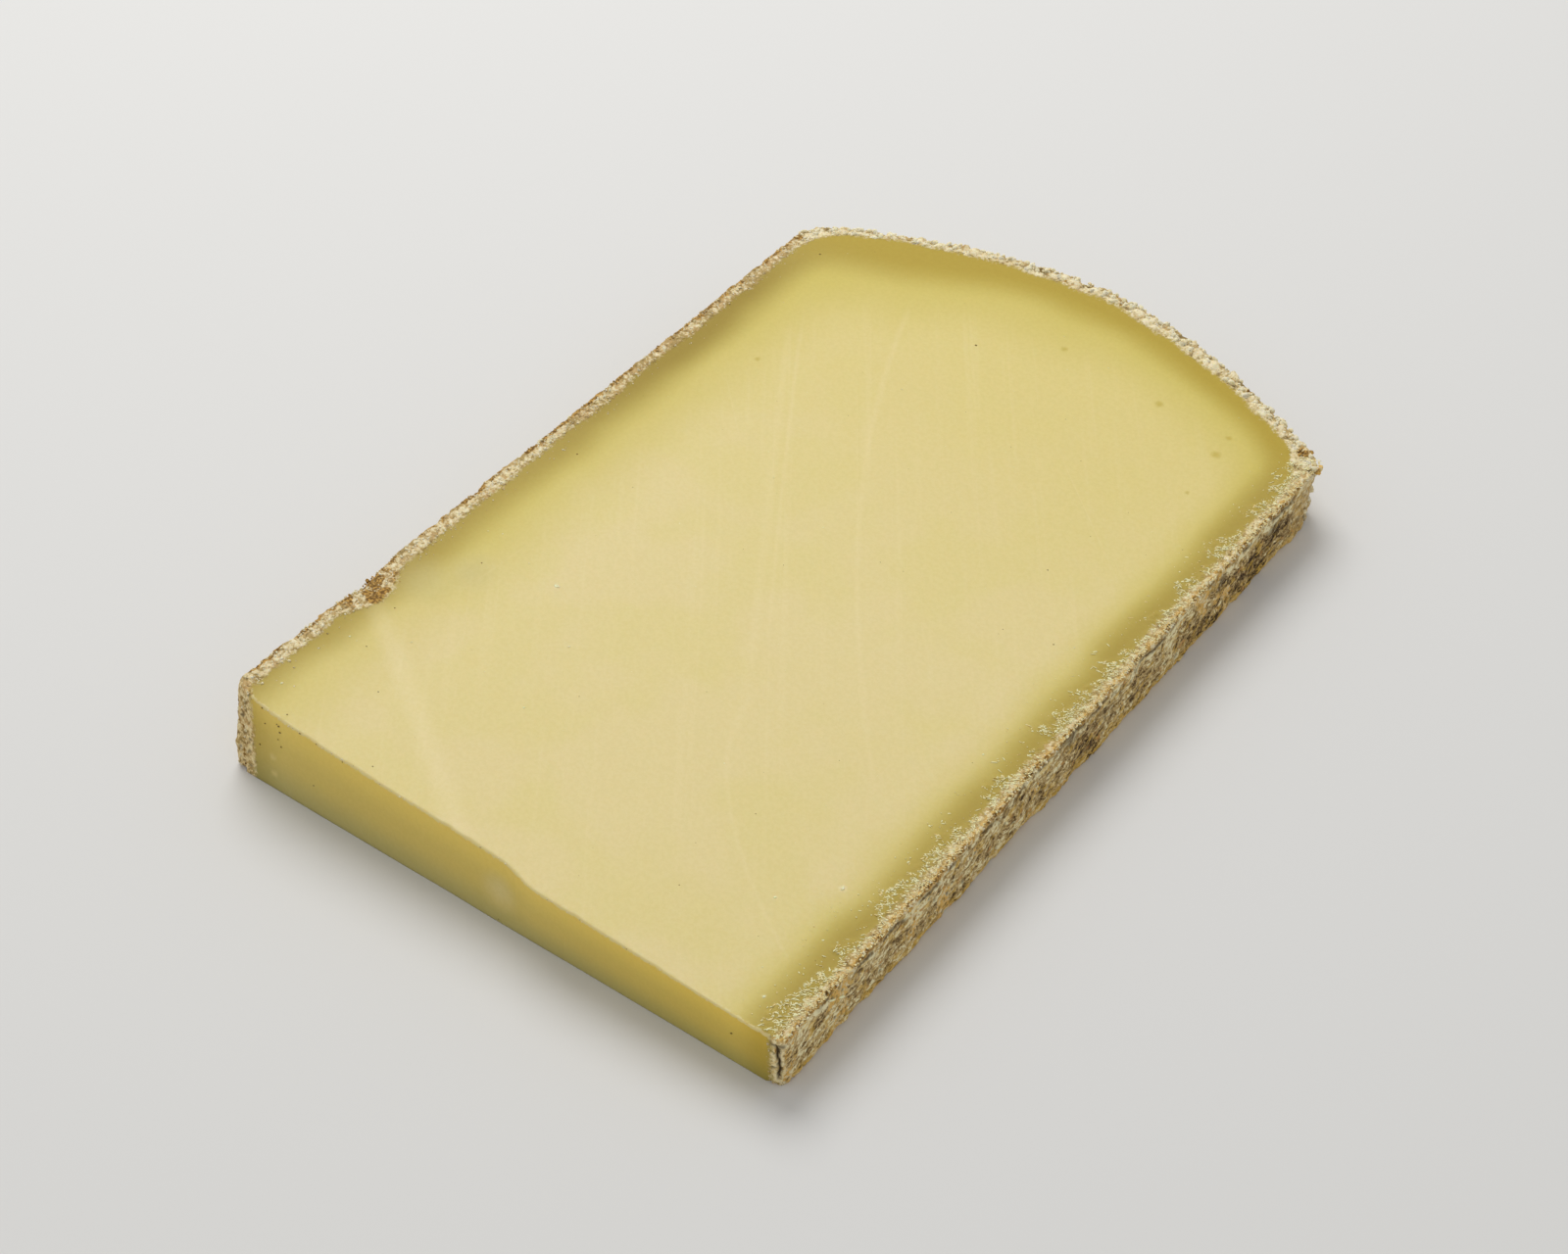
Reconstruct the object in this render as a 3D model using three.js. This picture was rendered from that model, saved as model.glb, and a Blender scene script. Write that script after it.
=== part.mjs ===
// A slice of pressed mountain cheese with its natural rind, lying on one of its two knife cuts.
//
// The slice comes from a wheel: its two long sides are the wheel's flat faces and its arched heel is
// the wheel's rim, all three in crumbly rind. The end across from the heel is a bare knife cut. The
// upper cut isn't parallel to the lower one, so the slice is a shallow wedge.
//
// Millimetres. +X runs across the slice, from its thick long side to its thin one. +Y runs from the
// bare end cut to the heel. +Z is up. The origin is the middle of the footprint.
import * as THREE from 'three';
import { mergeVertices } from 'three/addons/utils/BufferGeometryUtils.js';

// Plan
const WIDTH = 106.4; // across both rinds, the height of the wheel
const LENGTH = 168; // from the end cut to the top of the arch
const HEEL_RISE = 15.1; // height of the arch over its two shoulders
const HEEL_SPAN = 97; // between the shoulders
const HEEL_ROUNDNESS = 1.75; // 2 would be a parabola; less makes a blunter peak
const HEEL_CORNER_RUN = 7.8; // how far down each long side the heel corners start to turn
const HEEL_CORNER_PULL = 2.4; // the corners' control point lies this far below the shoulder
const END_CORNER_RADIUS = 1.6;
const CORE_INSET = 7; // the crust's crags stand away from a core this far inside it

// Height of the upper cut, a plane through three of its corners
const THICK_AT_END_LEFT = 15.2;
const THICK_AT_END_RIGHT = 9.7;
const THICK_AT_HEEL_LEFT = 16.9;

// The end cut leans back a little, and the knife was set down a second time along it
const END_LEAN = 1.5; // how far its upper edge stands behind its foot, left of the knife mark
const END_CORNER_LEAN = 2.3; // further lean at the left corner, where the rind dragged the knife
const END_CORNER_REACH = 6; // how quickly that further lean dies away along the edge
const END_LEAN_REACH = 14; // how far along the long sides the lean is felt
const KNIFE_MARK_X = 5.6; // middle of the step that the second cut left
const KNIFE_MARK_HALF_WIDTH = 4;

// Rind
const RIND = 3; // thickness of the crust that shows round the cuts
const KNOB_SIZE = 4.5; // knobs of the crust, seen along the side
const CRUMB_SIZE = 1.7; // crumbs on the knobs
const KNOB_SHARE = 0.6; // share of the relief that the knobs take; the crumbs take the rest
const HEEL_RELIEF = 1.3; // depth of the crags, peak to hollow
const SIDE_RELIEF = 0.8;
const FOOT_INSET = 0.45; // the crust's worn lower edge
const RIM_DROP = 0.5; // the crust's worn upper edge
const RIM_INSET = 0.35;
const RIM_CRUMBS = 0.35; // unevenness of the crust where the upper cut crosses it

// A torn place in the thick side's crust, open upwards
const SCAR_Y = -53;
const SCAR_HALF_LENGTH = 6.5;
const SCAR_DEPTH = 1.1;

// The crack between the heel's crust and the thin side's
const CRACK_Y = 63.6;
const CRACK_HALF_WIDTH = 0.9;
const CRACK_DEPTH = 0.8;

// Mesh
const STEPS_ROUND = 420; // places round the outline
const WALL_LEVELS = 6; // steps from the foot to the rim
const RIM_MIDDLE = 0.018; // rings on the upper cut, as shares of the way to the middle
const RIM_INNER = 0.045;

const PASTE_STRAW = 0xddcc93;

const LEFT = -WIDTH / 2;
const RIGHT = WIDTH / 2;
const END_CUT = -LENGTH / 2;
const SHOULDER_Y = LENGTH / 2 - HEEL_RISE;
const HEEL_STEPS = 40;

// A repeatable number from 0 to 1 for each whole-number place in the crust.
function grain(i, j) {
  const wave = Math.sin(i * 127.1 + j * 311.7) * 43758.5453;
  return wave - Math.floor(wave);
}

// Smooth hills and hollows from 0 to 1: the four grains round a place, blended by its distance to each.
function hills(u, v) {
  const i = Math.floor(u);
  const j = Math.floor(v);
  const a = THREE.MathUtils.smoothstep(u - i, 0, 1);
  const b = THREE.MathUtils.smoothstep(v - j, 0, 1);
  const low = THREE.MathUtils.lerp(grain(i, j), grain(i + 1, j), a);
  const high = THREE.MathUtils.lerp(grain(i, j + 1), grain(i + 1, j + 1), a);
  return THREE.MathUtils.lerp(low, high, b);
}

// Knobs with crumbs on them, from 0 in the deepest hollow to 1 on the highest knob.
function crags(along, up) {
  const knobs = hills(along / KNOB_SIZE, up / KNOB_SIZE);
  const crumbs = hills(along / CRUMB_SIZE, up / CRUMB_SIZE);
  return KNOB_SHARE * knobs + (1 - KNOB_SHARE) * crumbs;
}

// A round-shouldered bump, 1 at its middle and 0 from its half-width on.
function bump(distance, halfWidth) {
  const t = Math.min(Math.abs(distance) / halfWidth, 1);
  return (1 - t * t) ** 2;
}

// Height of the upper cut: a plane through its corners.
function cutHeight(x, y) {
  const across = (x - LEFT) / WIDTH;
  const along = (y - END_CUT) / (SHOULDER_Y - END_CUT);
  return THICK_AT_END_LEFT
    + (THICK_AT_END_RIGHT - THICK_AT_END_LEFT) * across
    + (THICK_AT_HEEL_LEFT - THICK_AT_END_LEFT) * along;
}

// How far the end cut's upper edge stands behind its foot.
function endLean(x) {
  const beforeMark = 1 - THREE.MathUtils.smoothstep(
    x, KNIFE_MARK_X - KNIFE_MARK_HALF_WIDTH, KNIFE_MARK_X + KNIFE_MARK_HALF_WIDTH);
  return END_LEAN * beforeMark + END_CORNER_LEAN * Math.exp((LEFT - x) / END_CORNER_REACH);
}

// The footprint, anticlockwise from the left end of the end cut. The heel is an arch whose height
// over its shoulders falls off as a power of the distance from the middle.
function footprint() {
  const shape = new THREE.Shape();
  const r = END_CORNER_RADIUS;
  const turnY = SHOULDER_Y - HEEL_CORNER_RUN;
  const pullY = SHOULDER_Y - HEEL_CORNER_PULL;
  shape.moveTo(LEFT + r, END_CUT);
  shape.lineTo(RIGHT - r, END_CUT);
  shape.quadraticCurveTo(RIGHT, END_CUT, RIGHT, END_CUT + r);
  shape.lineTo(RIGHT, turnY);
  shape.quadraticCurveTo(RIGHT, pullY, HEEL_SPAN / 2, SHOULDER_Y);
  for (let k = 1; k <= HEEL_STEPS; k += 1) {
    const t = 1 - (2 * k) / HEEL_STEPS;
    const rise = HEEL_RISE * (1 - Math.abs(t) ** HEEL_ROUNDNESS);
    shape.lineTo((t * HEEL_SPAN) / 2, SHOULDER_Y + rise);
  }
  shape.quadraticCurveTo(LEFT, pullY, LEFT, turnY);
  shape.lineTo(LEFT, END_CUT + r);
  shape.quadraticCurveTo(LEFT, END_CUT, LEFT + r, END_CUT);
  return shape;
}

// The way out of the slice at a point of its outline: away from the nearest point of the core.
function outward(point) {
  const core = new THREE.Box2(
    new THREE.Vector2(LEFT + CORE_INSET, END_CUT + CORE_INSET),
    new THREE.Vector2(RIGHT - CORE_INSET, SHOULDER_Y - CORE_INSET));
  return core.clampPoint(point, new THREE.Vector2()).negate().add(point).normalize();
}

// Points evenly spaced round the footprint, each with the way out of the slice, its distance from
// the start, how much it is crust rather than paste, and how deep the crags are there.
function outlinePlaces() {
  const shape = footprint();
  const points = shape.getSpacedPoints(STEPS_ROUND).slice(0, STEPS_ROUND);
  const step = shape.getLength() / STEPS_ROUND;
  return points.map((point, k) => {
    const out = outward(point);
    const facesEnd = THREE.MathUtils.smoothstep(-out.y, 0.3, 0.9);
    const inFromSide = THREE.MathUtils.smoothstep(WIDTH / 2 - Math.abs(point.x), RIND - 1, RIND);
    const heelward = THREE.MathUtils.smoothstep(point.y, SHOULDER_Y - 2 * HEEL_CORNER_RUN, SHOULDER_Y);
    return {
      point,
      out,
      along: k * step,
      crust: 1 - facesEnd * inFromSide,
      relief: THREE.MathUtils.lerp(SIDE_RELIEF, HEEL_RELIEF, heelward),
    };
  });
}

// How far the crust's surface lies inside the footprint (or, below 0, outside it) at one place.
function crustHollow(place, z, top) {
  const { point } = place;
  const share = z / top;
  const crag = place.relief * (0.5 - crags(place.along, z));
  const scar = point.x < 0 ? SCAR_DEPTH * share * bump(point.y - SCAR_Y, SCAR_HALF_LENGTH) : 0;
  const crack = point.x > 0 ? CRACK_DEPTH * bump(point.y - CRACK_Y, CRACK_HALF_WIDTH) : 0;
  return place.crust * (crag + scar + crack);
}

// One ring of the wall, from the foot (level 0) to the rim (level WALL_LEVELS). The end cut's paste
// leans back with height; the crust is cragged, and worn at its foot and rim.
function wallRing(places, level) {
  const share = level / WALL_LEVELS;
  return places.map((place) => {
    const { point, out, crust } = place;
    const top = cutHeight(point.x, point.y);
    const atFoot = level === 0 ? FOOT_INSET * crust : 0;
    const atRim = level === WALL_LEVELS ? RIM_INSET * crust : 0;
    const inset = crustHollow(place, share * top, top) + atFoot + atRim;
    const x = point.x - inset * out.x;
    const nearEnd = 1 - THREE.MathUtils.smoothstep(point.y - END_CUT, 0, END_LEAN_REACH);
    const y = point.y - inset * out.y + share * nearEnd * endLean(point.x);
    const drop = level === WALL_LEVELS ? RIM_DROP * crust : 0;
    return new THREE.Vector3(x, y, share * cutHeight(x, y) - drop);
  });
}

// One ring on the upper cut, drawn in from the rim towards the middle; crumbs lift or lower it.
function cutRing(rim, places, share, crumbs) {
  return rim.map((edge, k) => {
    const x = edge.x * (1 - share);
    const y = edge.y * (1 - share);
    const bumpiness = crumbs * places[k].crust * (crags(places[k].along, 0) - 0.5);
    return new THREE.Vector3(x, y, cutHeight(x, y) + bumpiness);
  });
}

// The closed body: rings of wall and rim joined by pairs of triangles, and over each cut a fan of
// triangles from the innermost ring to the middle.
function sliceGeometry() {
  const places = outlinePlaces();
  const rings = [];
  for (let level = 0; level <= WALL_LEVELS; level += 1) {
    rings.push(wallRing(places, level));
  }
  const rim = rings[WALL_LEVELS];
  rings.push(cutRing(rim, places, RIM_MIDDLE, RIM_CRUMBS));
  rings.push(cutRing(rim, places, RIM_INNER, 0));

  const footMiddle = new THREE.Vector3(0, 0, 0);
  const cutMiddle = new THREE.Vector3(0, 0, cutHeight(0, 0));
  const corners = [...rings.flat(), footMiddle, cutMiddle];
  const footMiddleIndex = corners.length - 2;
  const cutMiddleIndex = corners.length - 1;
  const lastRing = (rings.length - 1) * STEPS_ROUND;
  const triangles = [];
  for (let k = 0; k < STEPS_ROUND; k += 1) {
    const next = (k + 1) % STEPS_ROUND;
    for (let ring = 0; ring < lastRing; ring += STEPS_ROUND) {
      const above = ring + STEPS_ROUND;
      triangles.push(ring + k, ring + next, above + next);
      triangles.push(ring + k, above + next, above + k);
    }
    triangles.push(footMiddleIndex, next, k);
    triangles.push(cutMiddleIndex, lastRing + k, lastRing + next);
  }
  const positions = corners.flatMap((p) => [p.x, p.y, p.z]);

  const geometry = new THREE.BufferGeometry();
  geometry.setAttribute('position', new THREE.Float32BufferAttribute(positions, 3));
  geometry.setIndex(triangles);
  return mergeVertices(geometry);
}

const cheese = new THREE.Mesh(
  sliceGeometry(),
  new THREE.MeshStandardMaterial({ color: PASTE_STRAW, roughness: 0.45, metalness: 0 }),
);
cheese.name = 'cheese';
cheese.geometry.computeVertexNormals();

const slice = new THREE.Group();
slice.add(cheese);

export default slice;
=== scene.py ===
import itertools
import math

import bpy
import numpy as np
from mathutils import Matrix, Vector


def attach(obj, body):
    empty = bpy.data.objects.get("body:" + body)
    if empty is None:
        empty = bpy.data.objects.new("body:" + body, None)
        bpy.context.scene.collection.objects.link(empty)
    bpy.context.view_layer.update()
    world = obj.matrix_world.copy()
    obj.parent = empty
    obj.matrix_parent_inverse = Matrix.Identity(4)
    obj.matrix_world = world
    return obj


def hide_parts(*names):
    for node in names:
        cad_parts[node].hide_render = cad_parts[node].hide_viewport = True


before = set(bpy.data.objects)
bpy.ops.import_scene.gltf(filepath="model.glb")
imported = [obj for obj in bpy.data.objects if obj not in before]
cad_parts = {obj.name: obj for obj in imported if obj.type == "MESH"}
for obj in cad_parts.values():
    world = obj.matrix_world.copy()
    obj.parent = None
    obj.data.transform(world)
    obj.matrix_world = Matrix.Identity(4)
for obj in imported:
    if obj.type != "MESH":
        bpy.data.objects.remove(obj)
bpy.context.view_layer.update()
scene = bpy.context.scene

# ---------------------------------------------------------------------------------------------
# The camera looks down on the slice from beyond its thin front corner, with a normal lens held
# very slightly askew. It is placed by what it aims at, its bearing, its height angle and its reach.
# ---------------------------------------------------------------------------------------------
VIEW_AIM = Vector((-0.00295, -0.00876, 0.0))
VIEW_BEARING = math.radians(37.4)
VIEW_HEIGHT_ANGLE = math.radians(42.81)
VIEW_REACH = 0.4451
VIEW_ROLL = math.radians(-0.868)
LENS_MM = 62.8
SENSOR_MM = 36.0


def view_matrix(aim, bearing, height_angle, reach, roll):
    """The camera's place: it stands back from the aim along its line of sight, and its own right and up
    are the level right and the square-on up, turned by the roll."""
    sight = Vector((
        -math.sin(bearing) * math.cos(height_angle),
        math.cos(bearing) * math.cos(height_angle),
        -math.sin(height_angle),
    ))
    level = Vector((math.cos(bearing), math.sin(bearing), 0.0))
    square = level.cross(sight)
    right = math.cos(roll) * level + math.sin(roll) * square
    up = math.cos(roll) * square - math.sin(roll) * level
    turn = Matrix((right, up, -sight)).transposed().to_4x4()
    return Matrix.Translation(aim - reach * sight) @ turn


camera_data = bpy.data.cameras.new("camera")
camera_data.lens = LENS_MM
camera_data.sensor_width = SENSOR_MM
camera_data.sensor_fit = "HORIZONTAL"
camera_data.clip_start = 0.01
camera = bpy.data.objects.new("camera", camera_data)
camera.matrix_world = view_matrix(VIEW_AIM, VIEW_BEARING, VIEW_HEIGHT_ANGLE, VIEW_REACH, VIEW_ROLL)
scene.collection.objects.link(camera)
scene.camera = camera

# ---------------------------------------------------------------------------------------------
# The slice itself: one closed body of firm waxy paste, grown into a crumbly rind on its two long
# sides and its arched heel. A knife cut it from the wheel, so both cuts and the bare end are
# smooth, and the rind is cragged. Lengths are in millimetres until the mesh is made.
# ---------------------------------------------------------------------------------------------
MM = 0.001
WIDTH = 106.4
LENGTH = 168.0
HEEL_RISE = 15.1
HEEL_SPAN = 97.0
HEEL_ROUNDNESS = 1.75
HEEL_CORNER_RUN = 7.8
HEEL_CORNER_PULL = 2.4
END_CORNER_RADIUS = 1.6
CORE_INSET = 7.0
BAND_CORE_INSET = 13.0
THICK_AT_END_LEFT = 15.2
THICK_AT_END_RIGHT = 9.7
THICK_AT_HEEL_LEFT = 16.9
END_LEAN = 1.5
END_CORNER_LEAN = 2.3
END_CORNER_REACH = 6.0
END_LEAN_REACH = 14.0
KNIFE_MARK_X = 5.6
KNIFE_MARK_HALF_WIDTH = 4.0
RIND = 3.0
LEFT = -WIDTH / 2
RIGHT = WIDTH / 2
END_CUT = -LENGTH / 2
SHOULDER_Y = LENGTH / 2 - HEEL_RISE


def smooth(x, low, high):
    """0 below low, 1 above high, and 3t^2 - 2t^3 between."""
    t = np.clip((x - low) / (high - low), 0.0, 1.0)
    return t * t * (3.0 - 2.0 * t)


def bump(distance, half_width):
    """(1 - t^2)^2, a round-shouldered bump that is 1 at its middle and 0 from its half-width on."""
    t = np.clip(np.abs(distance) / half_width, 0.0, 1.0)
    return (1 - t * t) ** 2


def cut_height(x, y):
    """Height of the upper cut: a plane through three of its corners."""
    across = (x - LEFT) / WIDTH
    lengthwise = (y - END_CUT) / (SHOULDER_Y - END_CUT)
    return (
        THICK_AT_END_LEFT
        + (THICK_AT_END_RIGHT - THICK_AT_END_LEFT) * across
        + (THICK_AT_HEEL_LEFT - THICK_AT_END_LEFT) * lengthwise
    )


def heel_line(x):
    """Where the heel's arch lies over x: its height over the shoulders falls off as a power of the
    distance from the middle."""
    t = np.clip(np.abs(x) / (HEEL_SPAN / 2), 0.0, 1.0)
    return SHOULDER_Y + HEEL_RISE * (1 - t ** HEEL_ROUNDNESS)


def bend(a, pull, b, steps):
    """A quadratic curve from a to b pulled towards a third point: (1-t)^2 a + 2t(1-t) pull + t^2 b."""
    t = np.linspace(0.0, 1.0, steps + 1)[:, None]
    return (1 - t) ** 2 * np.array(a) + 2 * t * (1 - t) * np.array(pull) + t * t * np.array(b)


HALF_SPAN = HEEL_SPAN / 2
TURN_Y = SHOULDER_Y - HEEL_CORNER_RUN
PULL_Y = SHOULDER_Y - HEEL_CORNER_PULL
SOFT_END = END_CUT + END_CORNER_RADIUS
END_STEPS = 20
HEEL_STEPS = 40
ARCH_POINTS = 400

front_right = bend((RIGHT - END_CORNER_RADIUS, END_CUT), (RIGHT, END_CUT), (RIGHT, SOFT_END), END_STEPS)
back_right = bend((RIGHT, TURN_Y), (RIGHT, PULL_Y), (HALF_SPAN, SHOULDER_Y), HEEL_STEPS)
arch_x = np.linspace(HALF_SPAN, -HALF_SPAN, ARCH_POINTS)
arch = np.column_stack([arch_x, heel_line(arch_x)])
back_left = bend((-HALF_SPAN, SHOULDER_Y), (LEFT, PULL_Y), (LEFT, TURN_Y), HEEL_STEPS)
front_left = bend((LEFT, SOFT_END), (LEFT, END_CUT), (LEFT + END_CORNER_RADIUS, END_CUT), END_STEPS)
outline = np.vstack([front_left[-1:], front_right, back_right, arch, back_left, front_left])
outline_along = np.concatenate([[0.0], np.cumsum(np.hypot(*np.diff(outline, axis=0).T))])
ROUND = outline_along[-1]


def outline_at(along):
    """Plan place at each distance along the outline, anticlockwise from the left end of the bare end."""
    along = np.mod(along, ROUND)
    return np.interp(along, outline_along, outline[:, 0]), np.interp(along, outline_along, outline[:, 1])


def middle_along(corner):
    """Distance along the outline to the middle point of one of its corners."""
    middle = corner[len(corner) // 2]
    return outline_along[np.argmin(np.hypot(*(outline - middle).T))]


# Columns of points stand along the outline, and each side has as many as the grid that fills the cut
# needs: two to a square of that grid on the bare end, and four on the sides and the heel. The paste of
# the bare end takes wider steps than the crust does.
GRID_ACROSS = 94
GRID_ALONG = 126
END_RATIO = 2
CRUST_RATIO = 4
END_CRUST_COLUMNS = 14
END_CRUST_REACH = 4.2

along_front_left = middle_along(front_left) - ROUND
along_front_right = middle_along(front_right)
along_back_right = middle_along(back_right)
along_back_left = middle_along(back_left)
end_columns = END_RATIO * GRID_ACROSS
column_along = np.concatenate([
    np.interp(
        np.arange(end_columns),
        [0, END_CRUST_COLUMNS, end_columns - END_CRUST_COLUMNS, end_columns],
        [along_front_left, along_front_left + END_CRUST_REACH,
         along_front_right - END_CRUST_REACH, along_front_right]),
    np.linspace(along_front_right, along_back_right, CRUST_RATIO * GRID_ALONG, endpoint=False),
    np.linspace(along_back_right, along_back_left, CRUST_RATIO * GRID_ACROSS, endpoint=False),
    np.linspace(along_back_left, along_front_left + ROUND, CRUST_RATIO * GRID_ALONG, endpoint=False),
])
columns = len(column_along)
column_x, column_y = outline_at(column_along)


def way_out(x, y, core_inset):
    """The unit direction out of the slice: away from the nearest point of a core rectangle."""
    out_x = x - np.clip(x, LEFT + core_inset, RIGHT - core_inset)
    out_y = y - np.clip(y, END_CUT + core_inset, SHOULDER_Y - core_inset)
    length = np.hypot(out_x, out_y)
    return out_x / length, out_y / length


column_out_x, column_out_y = way_out(column_x, column_y, CORE_INSET)
band_out_x, band_out_y = way_out(column_x, column_y, BAND_CORE_INSET)


def crust_share(x, out_y):
    """How much a place of the outline is crust: 1, but 0 on the paste of the bare end."""
    faces_end = smooth(-out_y, 0.3, 0.9)
    in_from_side = smooth(WIDTH / 2 - np.abs(x), RIND - 1, RIND)
    return 1 - faces_end * in_from_side


def lean_back(x, y, share):
    """The bare end leans: a place moves back by its share of the height times the lean, which has a
    step at the knife mark and grows at the left corner, and dies away along the slice."""
    before_mark = 1 - smooth(x, KNIFE_MARK_X - KNIFE_MARK_HALF_WIDTH, KNIFE_MARK_X + KNIFE_MARK_HALF_WIDTH)
    lean = END_LEAN * before_mark + END_CORNER_LEAN * np.exp((LEFT - x) / END_CORNER_REACH)
    return y + share * lean * (1 - smooth(y - END_CUT, 0.0, END_LEAN_REACH))


# The crust's relief: knobs with crumbs on them, then packed grit, slanting fibres on the long sides, a
# torn place on the thick side, and cracks by the heel and down the thin side's front edge.
KNOB_SIZE = 4.5
CRUMB_SIZE = 1.7
KNOB_SHARE = 0.6
HEEL_RELIEF = 1.3
SIDE_RELIEF = 0.8
FOOT_INSET = 0.45
FOOT_REACH = 0.7
RIM_INSET = 0.25
RIM_DROP = 0.2
RIM_REACH = 0.45
SCAR_Y = -53.0
SCAR_HALF_LENGTH = 7.5
SCAR_DEPTH = 1.1
CRACK_Y = 63.6
CRACK_HALF_WIDTH = 0.9
CRACK_DEPTH = 0.8
EDGE_CRACK_INSET = -0.45
EDGE_CRACK_HALF_WIDTH = 0.45
EDGE_CRACK_DEPTH = 0.6
EDGE_CRACK_WANDER = ((0.7, 2.3, 3.0), (0.6, 0.7, 8.0))
EDGE_CRACK_START = (0.8, 2.2)
EDGE_CRACK_STOP = (1.0, 0.3)
SIDE_GRIT_SIZE = 0.9
SIDE_GRIT_RELIEF = 0.26
HEEL_GRIT_SIZE = 2.1
HEEL_GRIT_RELIEF = 0.95
GRIT_MEAN = 0.4
FIBRE_TILT = math.radians(18)
FIBRE_LENGTH = 2.1
FIBRE_WIDTH = 0.8
FIBRE_RELIEF = 0.3
FIBRE_WINDING = 1.1
BROAD_FIBRE_SHARE = 0.68
FINE_FIBRE_SHARE = 0.32
STROKE_SHARE = 0.5
PIT_SPACING = (2.3, 1.4)
PIT_HALF_SIZES = (0.6, 0.33)
PIT_DEPTH = 0.35
FLAKE_SPACING = (2.6, 1.2)
FLAKE_HALF_SIZES = (1.0, 0.34)
FLAKE_RISE = 0.16


def grain(i, j, k=0.0):
    """A repeatable number from 0 to 1 for each whole-number place: the fraction left of a large sine."""
    wave = np.sin(i * 127.1 + j * 311.7 + k * 74.7) * 43758.5453
    return wave - np.floor(wave)


def hills(u, v):
    """Smooth hills and hollows from 0 to 1: the four grains round a place, blended by smooth steps."""
    i, j = np.floor(u), np.floor(v)
    a, b = smooth(u - i, 0.0, 1.0), smooth(v - j, 0.0, 1.0)
    low = grain(i, j) * (1 - a) + grain(i + 1, j) * a
    high = grain(i, j + 1) * (1 - a) + grain(i + 1, j + 1) * a
    return low * (1 - b) + high * b


def crags(along, up):
    """Knobs with crumbs on them, from 0 in the deepest hollow to 1 on the highest knob."""
    knobs = hills(along / KNOB_SIZE, up / KNOB_SIZE)
    crumbs = hills(along / CRUMB_SIZE, up / CRUMB_SIZE)
    return KNOB_SHARE * knobs + (1 - KNOB_SHARE) * crumbs


def packed_grit(x, y, z, size):
    """Rounded grit packed in space, from 0 in the gaps to about 1 on the largest. One bit of grit grows
    from a jittered point in each cube of the given size. It is domed, the gap lies where the two nearest
    points are equally far, and each bit has a height of its own."""
    u, v, w = x / size, y / size, z / size
    i, j, k = np.floor(u), np.floor(v), np.floor(w)
    nearest = np.full(u.shape, 9.0)
    second = np.full(u.shape, 9.0)
    stature = np.zeros(u.shape)
    for step_i, step_j, step_k in itertools.product((-1, 0, 1), repeat=3):
        ci, cj, ck = i + step_i, j + step_j, k + step_k
        away = np.sqrt(
            (ci + grain(ci, cj, ck) - u) ** 2
            + (cj + grain(cj, ck, ci + 5) - v) ** 2
            + (ck + grain(ck, ci, cj + 9) - w) ** 2)
        stature = np.where(away < nearest, grain(ci + 3, cj, ck + 4), stature)
        second = np.minimum(second, np.maximum(nearest, away))
        nearest = np.minimum(nearest, away)
    dome = 1 - np.clip(nearest / 0.95, 0, 1) ** 2
    return (0.45 * smooth(second - nearest, 0.0, 0.5) + 0.55 * dome) * (0.4 + 0.6 * stature)


def slanting(along, up):
    """Coordinates that run along and across the fibres, which climb the long sides at the tilt and wind
    about by noise."""
    winding = FIBRE_WINDING * (hills(along / 2.7 + 5, up / 2.1) - 0.5)
    return (
        along * math.cos(FIBRE_TILT) + up * math.sin(FIBRE_TILT) + winding,
        up * math.cos(FIBRE_TILT) - along * math.sin(FIBRE_TILT) + winding)


def fibre_ridges(along, up):
    """Ridges of pressed fibre, from 0 to 1: hills stretched along the slant, with finer ones on them."""
    lengthwise, crosswise = slanting(along, up)
    broad = hills(lengthwise / FIBRE_LENGTH, crosswise / FIBRE_WIDTH)
    slight = hills(lengthwise / FIBRE_LENGTH * 2.3 + 7, crosswise / FIBRE_WIDTH * 1.9)
    return BROAD_FIBRE_SHARE * broad + FINE_FIBRE_SHARE * slight


def strokes(along, up, spacing, half_sizes, share, salt):
    """Scattered oval strokes along the slant, 1 at the middle of each and 0 from its edge on. Each cell
    of the spacing holds one at a jittered place, or none, as often as one less the share."""
    lengthwise, crosswise = slanting(along, up)
    u, v = lengthwise / spacing[0], crosswise / spacing[1]
    deepest = np.zeros(np.broadcast(u, v).shape)
    for step_i, step_j in itertools.product((-1, 0, 1), repeat=2):
        i, j = np.floor(u) + step_i, np.floor(v) + step_j
        off_along = (i + grain(i, j, salt) - u) * spacing[0] / half_sizes[0]
        off_across = (j + grain(j, i, salt + 2) - v) * spacing[1] / half_sizes[1]
        oval = np.clip(1 - off_along ** 2 - off_across ** 2, 0, 1)
        deepest = np.maximum(deepest, np.where(grain(i, j, salt + 5) < share, oval, 0))
    return deepest


def skin_pits(along, up):
    """The pits of the pressed skin."""
    return strokes(along, up, PIT_SPACING, PIT_HALF_SIZES, STROKE_SHARE, salt=1.0)


def skin_flakes(along, up):
    """The raised flakes of the pressed skin."""
    return strokes(along, up, FLAKE_SPACING, FLAKE_HALF_SIZES, STROKE_SHARE, salt=11.0)


def heel_share(y):
    """0 on the long sides and 1 on the heel."""
    return smooth(y, SHOULDER_Y - 2 * HEEL_CORNER_RUN, SHOULDER_Y)


def grit_height(x, y, z):
    """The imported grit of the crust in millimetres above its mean: fine on the sides, plump on the heel."""
    heelward = heel_share(y)
    fine = SIDE_GRIT_RELIEF * (packed_grit(x, y, z, SIDE_GRIT_SIZE) - GRIT_MEAN)
    plump = HEEL_GRIT_RELIEF * (packed_grit(x, y, z, HEEL_GRIT_SIZE) - GRIT_MEAN)
    return fine + heelward * plump


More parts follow.
